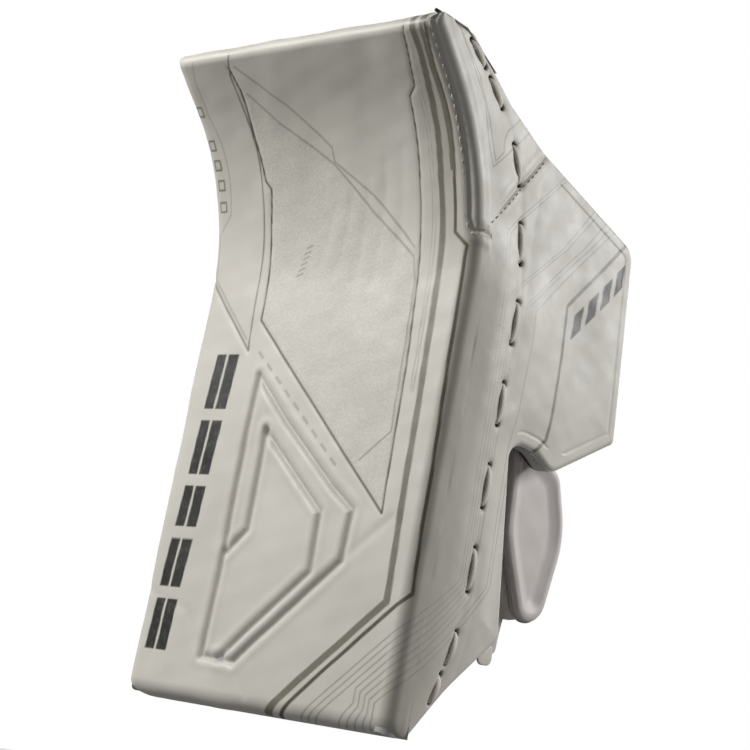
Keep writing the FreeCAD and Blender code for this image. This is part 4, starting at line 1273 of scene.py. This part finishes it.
def guard_sheet(axis, reach, ridge):
    """One face of the thumb's guard: part of a tube round the thumb, closed over its tip."""
    forward = unit(axis)
    across = np.cross(forward, (1.0, 0.0, 0.0))
    around = np.radians(np.linspace(-76, 76, 36))
    spread = np.outer(np.cos(around), (1.0, 0.0, 0.0)) + np.outer(np.sin(around), across)
    sheet = [THUMB_BASE + axis * t + (reach - 0.4 + ridge * abs(math.sin(t * 16.0))) * spread
             for t in np.linspace(0.32, 1.0, 24)]
    for lift in np.arange(1, 9) * math.pi / 18:
        sheet.append(THUMB_TIP + reach * 0.97 * (math.sin(lift) * forward + math.cos(lift) * spread))
    return np.array(sheet)


def thumb():
    """Leather thumb with a padded guard over its wing side."""
    axis = THUMB_TIP - THUMB_BASE
    path = [THUMB_BASE + axis * t for t in np.linspace(0, 1, 30)]
    radii = 10.5 + 0.2 * np.sin(np.linspace(0, 9, 30))
    sleeve(Piece("thumb_leather", PALM, "thumb", "thumb_stall"), path, radii, 1.8, wrinkle=0.35, seed=61)
    inner, outer = guard_sheet(axis, 11.0, 0.0), guard_sheet(axis, 13.7, 0.35)
    rows, columns = inner.shape[:2]
    half = rows * columns
    faces = [tuple(f) for f in grid_faces(rows, columns)]
    faces += [tuple(f + half) for f in grid_faces(rows, columns, flip=True)]
    number = np.arange(half).reshape(rows, columns)
    rim = np.concatenate([number[:, 0], number[-1, 1:], number[-2::-1, -1], number[0, -2:0:-1]])
    faces += [(a, b, b + half, a + half) for a, b in zip(rim, np.roll(rim, -1))]
    guard = Piece("thumb_guard_pad", BLACK, "thumb", "thumb_guard")
    new_object(guard, np.concatenate([*inner, *outer]), faces)


for finger in GRIPPING:
    gripping_finger(*finger)
index_finger()
index_guard()
thumb()


# ---- Fabric across the knuckles and wrist -------------------------------------------
def oval(centre, a, b, count):
    """A level oval ring, `a` wide to each side and `b` deep."""
    angles = np.linspace(0, 2 * math.pi, count, endpoint=False)
    flat = np.stack([np.cos(angles) * a, np.sin(angles) * b, np.zeros(count)], axis=1)
    return np.array(centre) + flat


def knuckle_web(finger, x):
    """Stretch fabric from the pocket's mouth to the top of a finger."""
    rings = []
    for t in np.linspace(0, 1, 9):
        swell = 0.6 * math.sin(math.pi * t)
        a = 8.5 - 0.6 * t + swell * 0.3
        rings.append(oval((x, 66.0, 178.0 - 12.0 * t), a, 12.2 - 3.9 * t + swell, 40))
    loft(finger + "_knuckle_fabric", rings)


def wrist_gusset():
    """Padded stretch fabric that joins the hand pocket to the cuff."""
    rings = []
    for t in np.linspace(0, 1, 13):
        fold = 0.8 * math.sin(t * 22.0) * math.sin(math.pi * t)
        a = 43.0 - 7.4 * smooth(t, 0.0, 1.0) + fold
        b = 14.0 + 12.6 * t + fold
        rings.append(oval((16.0, 66.0 + 18.0 * t, 244.0 + 24.0 * t), a, b, 72))
    loft("wrist_gusset_fabric", rings)


for finger, _, x, _ in GRIPPING:
    knuckle_web(finger, x)
wrist_gusset()


# ---- Cuff and strap -----------------------------------------------------------------
CUFF_X, CUFF_Y = 16.0, 84.0
CUFF_A, CUFF_B = 36.0, 27.0
CUFF_Z = (262.0, 342.0)
STRAP_Z = (288.0, 320.0)
LINER, SHELL = 4.5, 6.8
SPLIT = (84.0, 420.0)
QUILTING = (276.0, 284.0, 324.0, 332.0)
STRAP_ROWS = (291.0, 317.0)


def oval_path(grow, first, last):
    """Plan path round the wrist opening, between two angles in degrees from +X to +Y."""
    a, b = CUFF_A + grow, CUFF_B + grow
    angle = np.radians(np.linspace(first, last, int(abs(last - first) / 2.4) + 2))
    reach = a * b / np.hypot(b * np.cos(angle), a * np.sin(angle))
    return np.stack([CUFF_X + reach * np.cos(angle), CUFF_Y + reach * np.sin(angle)], axis=1)


def band_stitching(label, levels, grow, first, last, body, length, gap):
    """A row of stitches round the wrist at each height."""
    path = oval_path(grow, first, last)
    outward = [(x - CUFF_X, y - CUFF_Y, 0) for x, y in path]
    for z in levels:
        stitch_row("%s_%d" % (label, z), [(x, y, z) for x, y in path], outward, THREAD, body, length, gap)


def wrist_bands(body, rows):
    """Bands round the wrist: name, material, node, growth, angles, thickness, heights and padding."""
    for name, material, node, grow, angles, thickness, heights, padding in rows:
        wall_band(Piece(name, material, body, node), oval_path(grow, *angles), thickness, *heights, **padding)


def cuff():
    """Padded cuff: knit lining, quilted leather shell, bound edge and loop tape."""
    quilted = {"edge": 1.0, "puff": 1.1, "channels": QUILTING, "relief_seed": 71}
    wrist_bands("cuff", (
        ("cuff_lining_pad", LINING, "cuff_liner", 0.3, SPLIT, LINER - 0.5, CUFF_Z, {"edge": 1.6}),
        ("cuff_shell_leather", LEATHER, "cuff_shell", LINER + 0.1, SPLIT, SHELL - LINER - 0.1, CUFF_Z,
         quilted),
        ("cuff_binding_tape", PIPING, "cuff_binding", -0.4, SPLIT, SHELL + 0.8, (341.2, 345.0),
         {"edge": 1.7}),
        ("cuff_loop_tape", TAPE, "loop_tape", SHELL + 0.5, (2, 50), 0.9, (289, 319), {"edge": 0.4}),
        ("strap_anchor_patch", BLACK, "strap_anchor", SHELL + 0.3, (187, 206), 3.6, STRAP_Z,
         {"edge": 0.8, "puff": 0.3})))
    band_stitching("cuff_quilting", QUILTING, SHELL + 0.35, 87, 417, "cuff", 2.6, 1.6)
    band_stitching("anchor_stitching", STRAP_ROWS, SHELL + 4.1, 189, 204, "cuff", 1.8, 1.0)


def wrist_strap():
    """Webbing strap with hook tape inside and a stiff grip at its free end."""
    wrist_bands("strap", (
        ("wrist_strap_webbing", BLACK, "wrist_strap", SHELL + 2.2, (4, 180), 1.9, STRAP_Z,
         {"edge": 0.8, "puff": 0.15}),
        ("strap_hook_tape", TAPE, "hook_tape", SHELL + 1.5, (8, 44), 0.6, (290, 318), {"edge": 0.25}),
        ("strap_grip_tab", PLASTIC, "strap_tab", SHELL + 4.2, (5, 20), 1.7, (292, 316),
         {"edge": 0.8, "puff": 0.25})))
    band_stitching("strap_stitching", STRAP_ROWS, SHELL + 4.2, 22, 176, "strap", 2.4, 1.4)


cuff()
wrist_strap()


# ---- Materials of the CAD parts that stay -------------------------------------------
KEPT = {
    "face_foam": FOAM, "back_foam": FOAM, "side_wall_core": FOAM, "stiffener_plate": PLASTIC,
    "tee_nuts": STEEL, "hand_screws": STEEL,
}
for node, material in KEPT.items():
    for material_slot in bpy.data.objects[node].material_slots:
        material_slot.material = material


# ---- Floor, light and camera --------------------------------------------------------
def backdrop(name, color, bounce):
    """A plain surface that shows `color` evenly but throws only `bounce` back onto the object."""
    sh = Shader(name)
    tone = sh.mix(sh.fit(sh.noise(2.0), 0.3, 0.7, 0.0, 0.2), color, rgb(250, 250, 250))
    seen = sh.node("ShaderNodeLightPath").outputs["Is Camera Ray"]
    sh.put(sh.bsdf.inputs["Emission Color"], tone)
    sh.put(sh.bsdf.inputs["Emission Strength"], sh.math("MULTIPLY", seen, 0.78))
    return sh.finish(bounce, 0.9)


def area_light(name, place, target, size, power):
    data = bpy.data.lights.new(name, "AREA")
    data.energy = power
    data.size = size
    lamp = bpy.data.objects.new(name, data)
    lamp.location = place
    lamp.rotation_euler = (Vector(target) - Vector(place)).to_track_quat("-Z", "Y").to_euler()
    bpy.context.collection.objects.link(lamp)


FLOOR_SIZE = 4.0
FLOOR_HEIGHT = -0.16
WORLD_LIGHT = 0.10       # light from the studio's surroundings; the backdrop itself shows white


def build_stage():
    """A pale floor low enough for a camera that looks slightly upward."""
    mesh = bpy.data.meshes.new("floor")
    size, low = FLOOR_SIZE, FLOOR_HEIGHT
    corners = [(-size, -size, low), (size, -size, low), (size, size, low), (-size, size, low)]
    mesh.from_pydata(corners, [], [(0, 1, 2, 3)])
    floor = bpy.data.objects.new("floor", mesh)
    bpy.context.collection.objects.link(floor)
    mesh.materials.append(backdrop("floor_paper", rgb(244, 244, 244), rgb(110, 110, 110)))
    world = bpy.data.worlds.new("studio")
    bpy.context.scene.world = world
    world.use_nodes = True
    nodes, links = world.node_tree.nodes, world.node_tree.links
    back = nodes["Background"]
    back.inputs["Color"].default_value = (1.0, 1.0, 1.0, 1.0)
    seen = nodes.new("ShaderNodeLightPath")
    strength = nodes.new("ShaderNodeMapRange")
    strength.inputs["To Min"].default_value = WORLD_LIGHT
    strength.inputs["To Max"].default_value = 1.0
    links.new(seen.outputs["Is Camera Ray"], strength.inputs["Value"])
    links.new(strength.outputs["Result"], back.inputs["Strength"])


TARGET = placed((19.8, 29.8, 196.0))
CAMERA_AZIMUTH = math.radians(42.9)
CAMERA_ELEVATION = math.radians(-12.0)
CAMERA_ROLL = math.radians(10.82)
CAMERA_DISTANCE = 1.0321
LENS = 88.17


def build_camera():
    """The camera stands ahead of the face, to the thumb side and a little low, and is tilted."""
    level = math.cos(CAMERA_ELEVATION)
    across, ahead = math.sin(CAMERA_AZIMUTH) * level, math.cos(CAMERA_AZIMUTH) * level
    back = Vector((across, -ahead, math.sin(CAMERA_ELEVATION)))
    right = Vector((0, 0, 1)).cross(back).normalized()
    up = back.cross(right)
    tilted_right = right * math.cos(CAMERA_ROLL) + up * math.sin(CAMERA_ROLL)
    tilted_up = up * math.cos(CAMERA_ROLL) - right * math.sin(CAMERA_ROLL)
    data = bpy.data.cameras.new("camera")
    data.lens = LENS
    data.sensor_width = 36.0
    data.clip_start = 0.05
    camera = bpy.data.objects.new("camera", data)
    bpy.context.collection.objects.link(camera)
    turn = Matrix((tilted_right, tilted_up, back)).transposed().to_4x4()
    camera.matrix_world = Matrix.Translation(Vector(TARGET) + back * CAMERA_DISTANCE) @ turn
    bpy.context.scene.camera = camera


build_stage()
area_light("key", (-0.85, -1.15, 1.0), (0, 0, 0.2), 0.6, 23.0)
area_light("wing_light", (1.15, 1.17, 0.91), (0.1, 0.05, 0.2), 0.6, 19.5)
area_light("fill", (0.2, -1.6, 0.3), (0, 0, 0.2), 1.0, 0.5)
area_light("back_light", (-0.3, 1.4, 0.9), (0, 0.05, 0.2), 1.2, 5.0)
build_camera()
bpy.context.scene.view_settings.view_transform = "Standard"
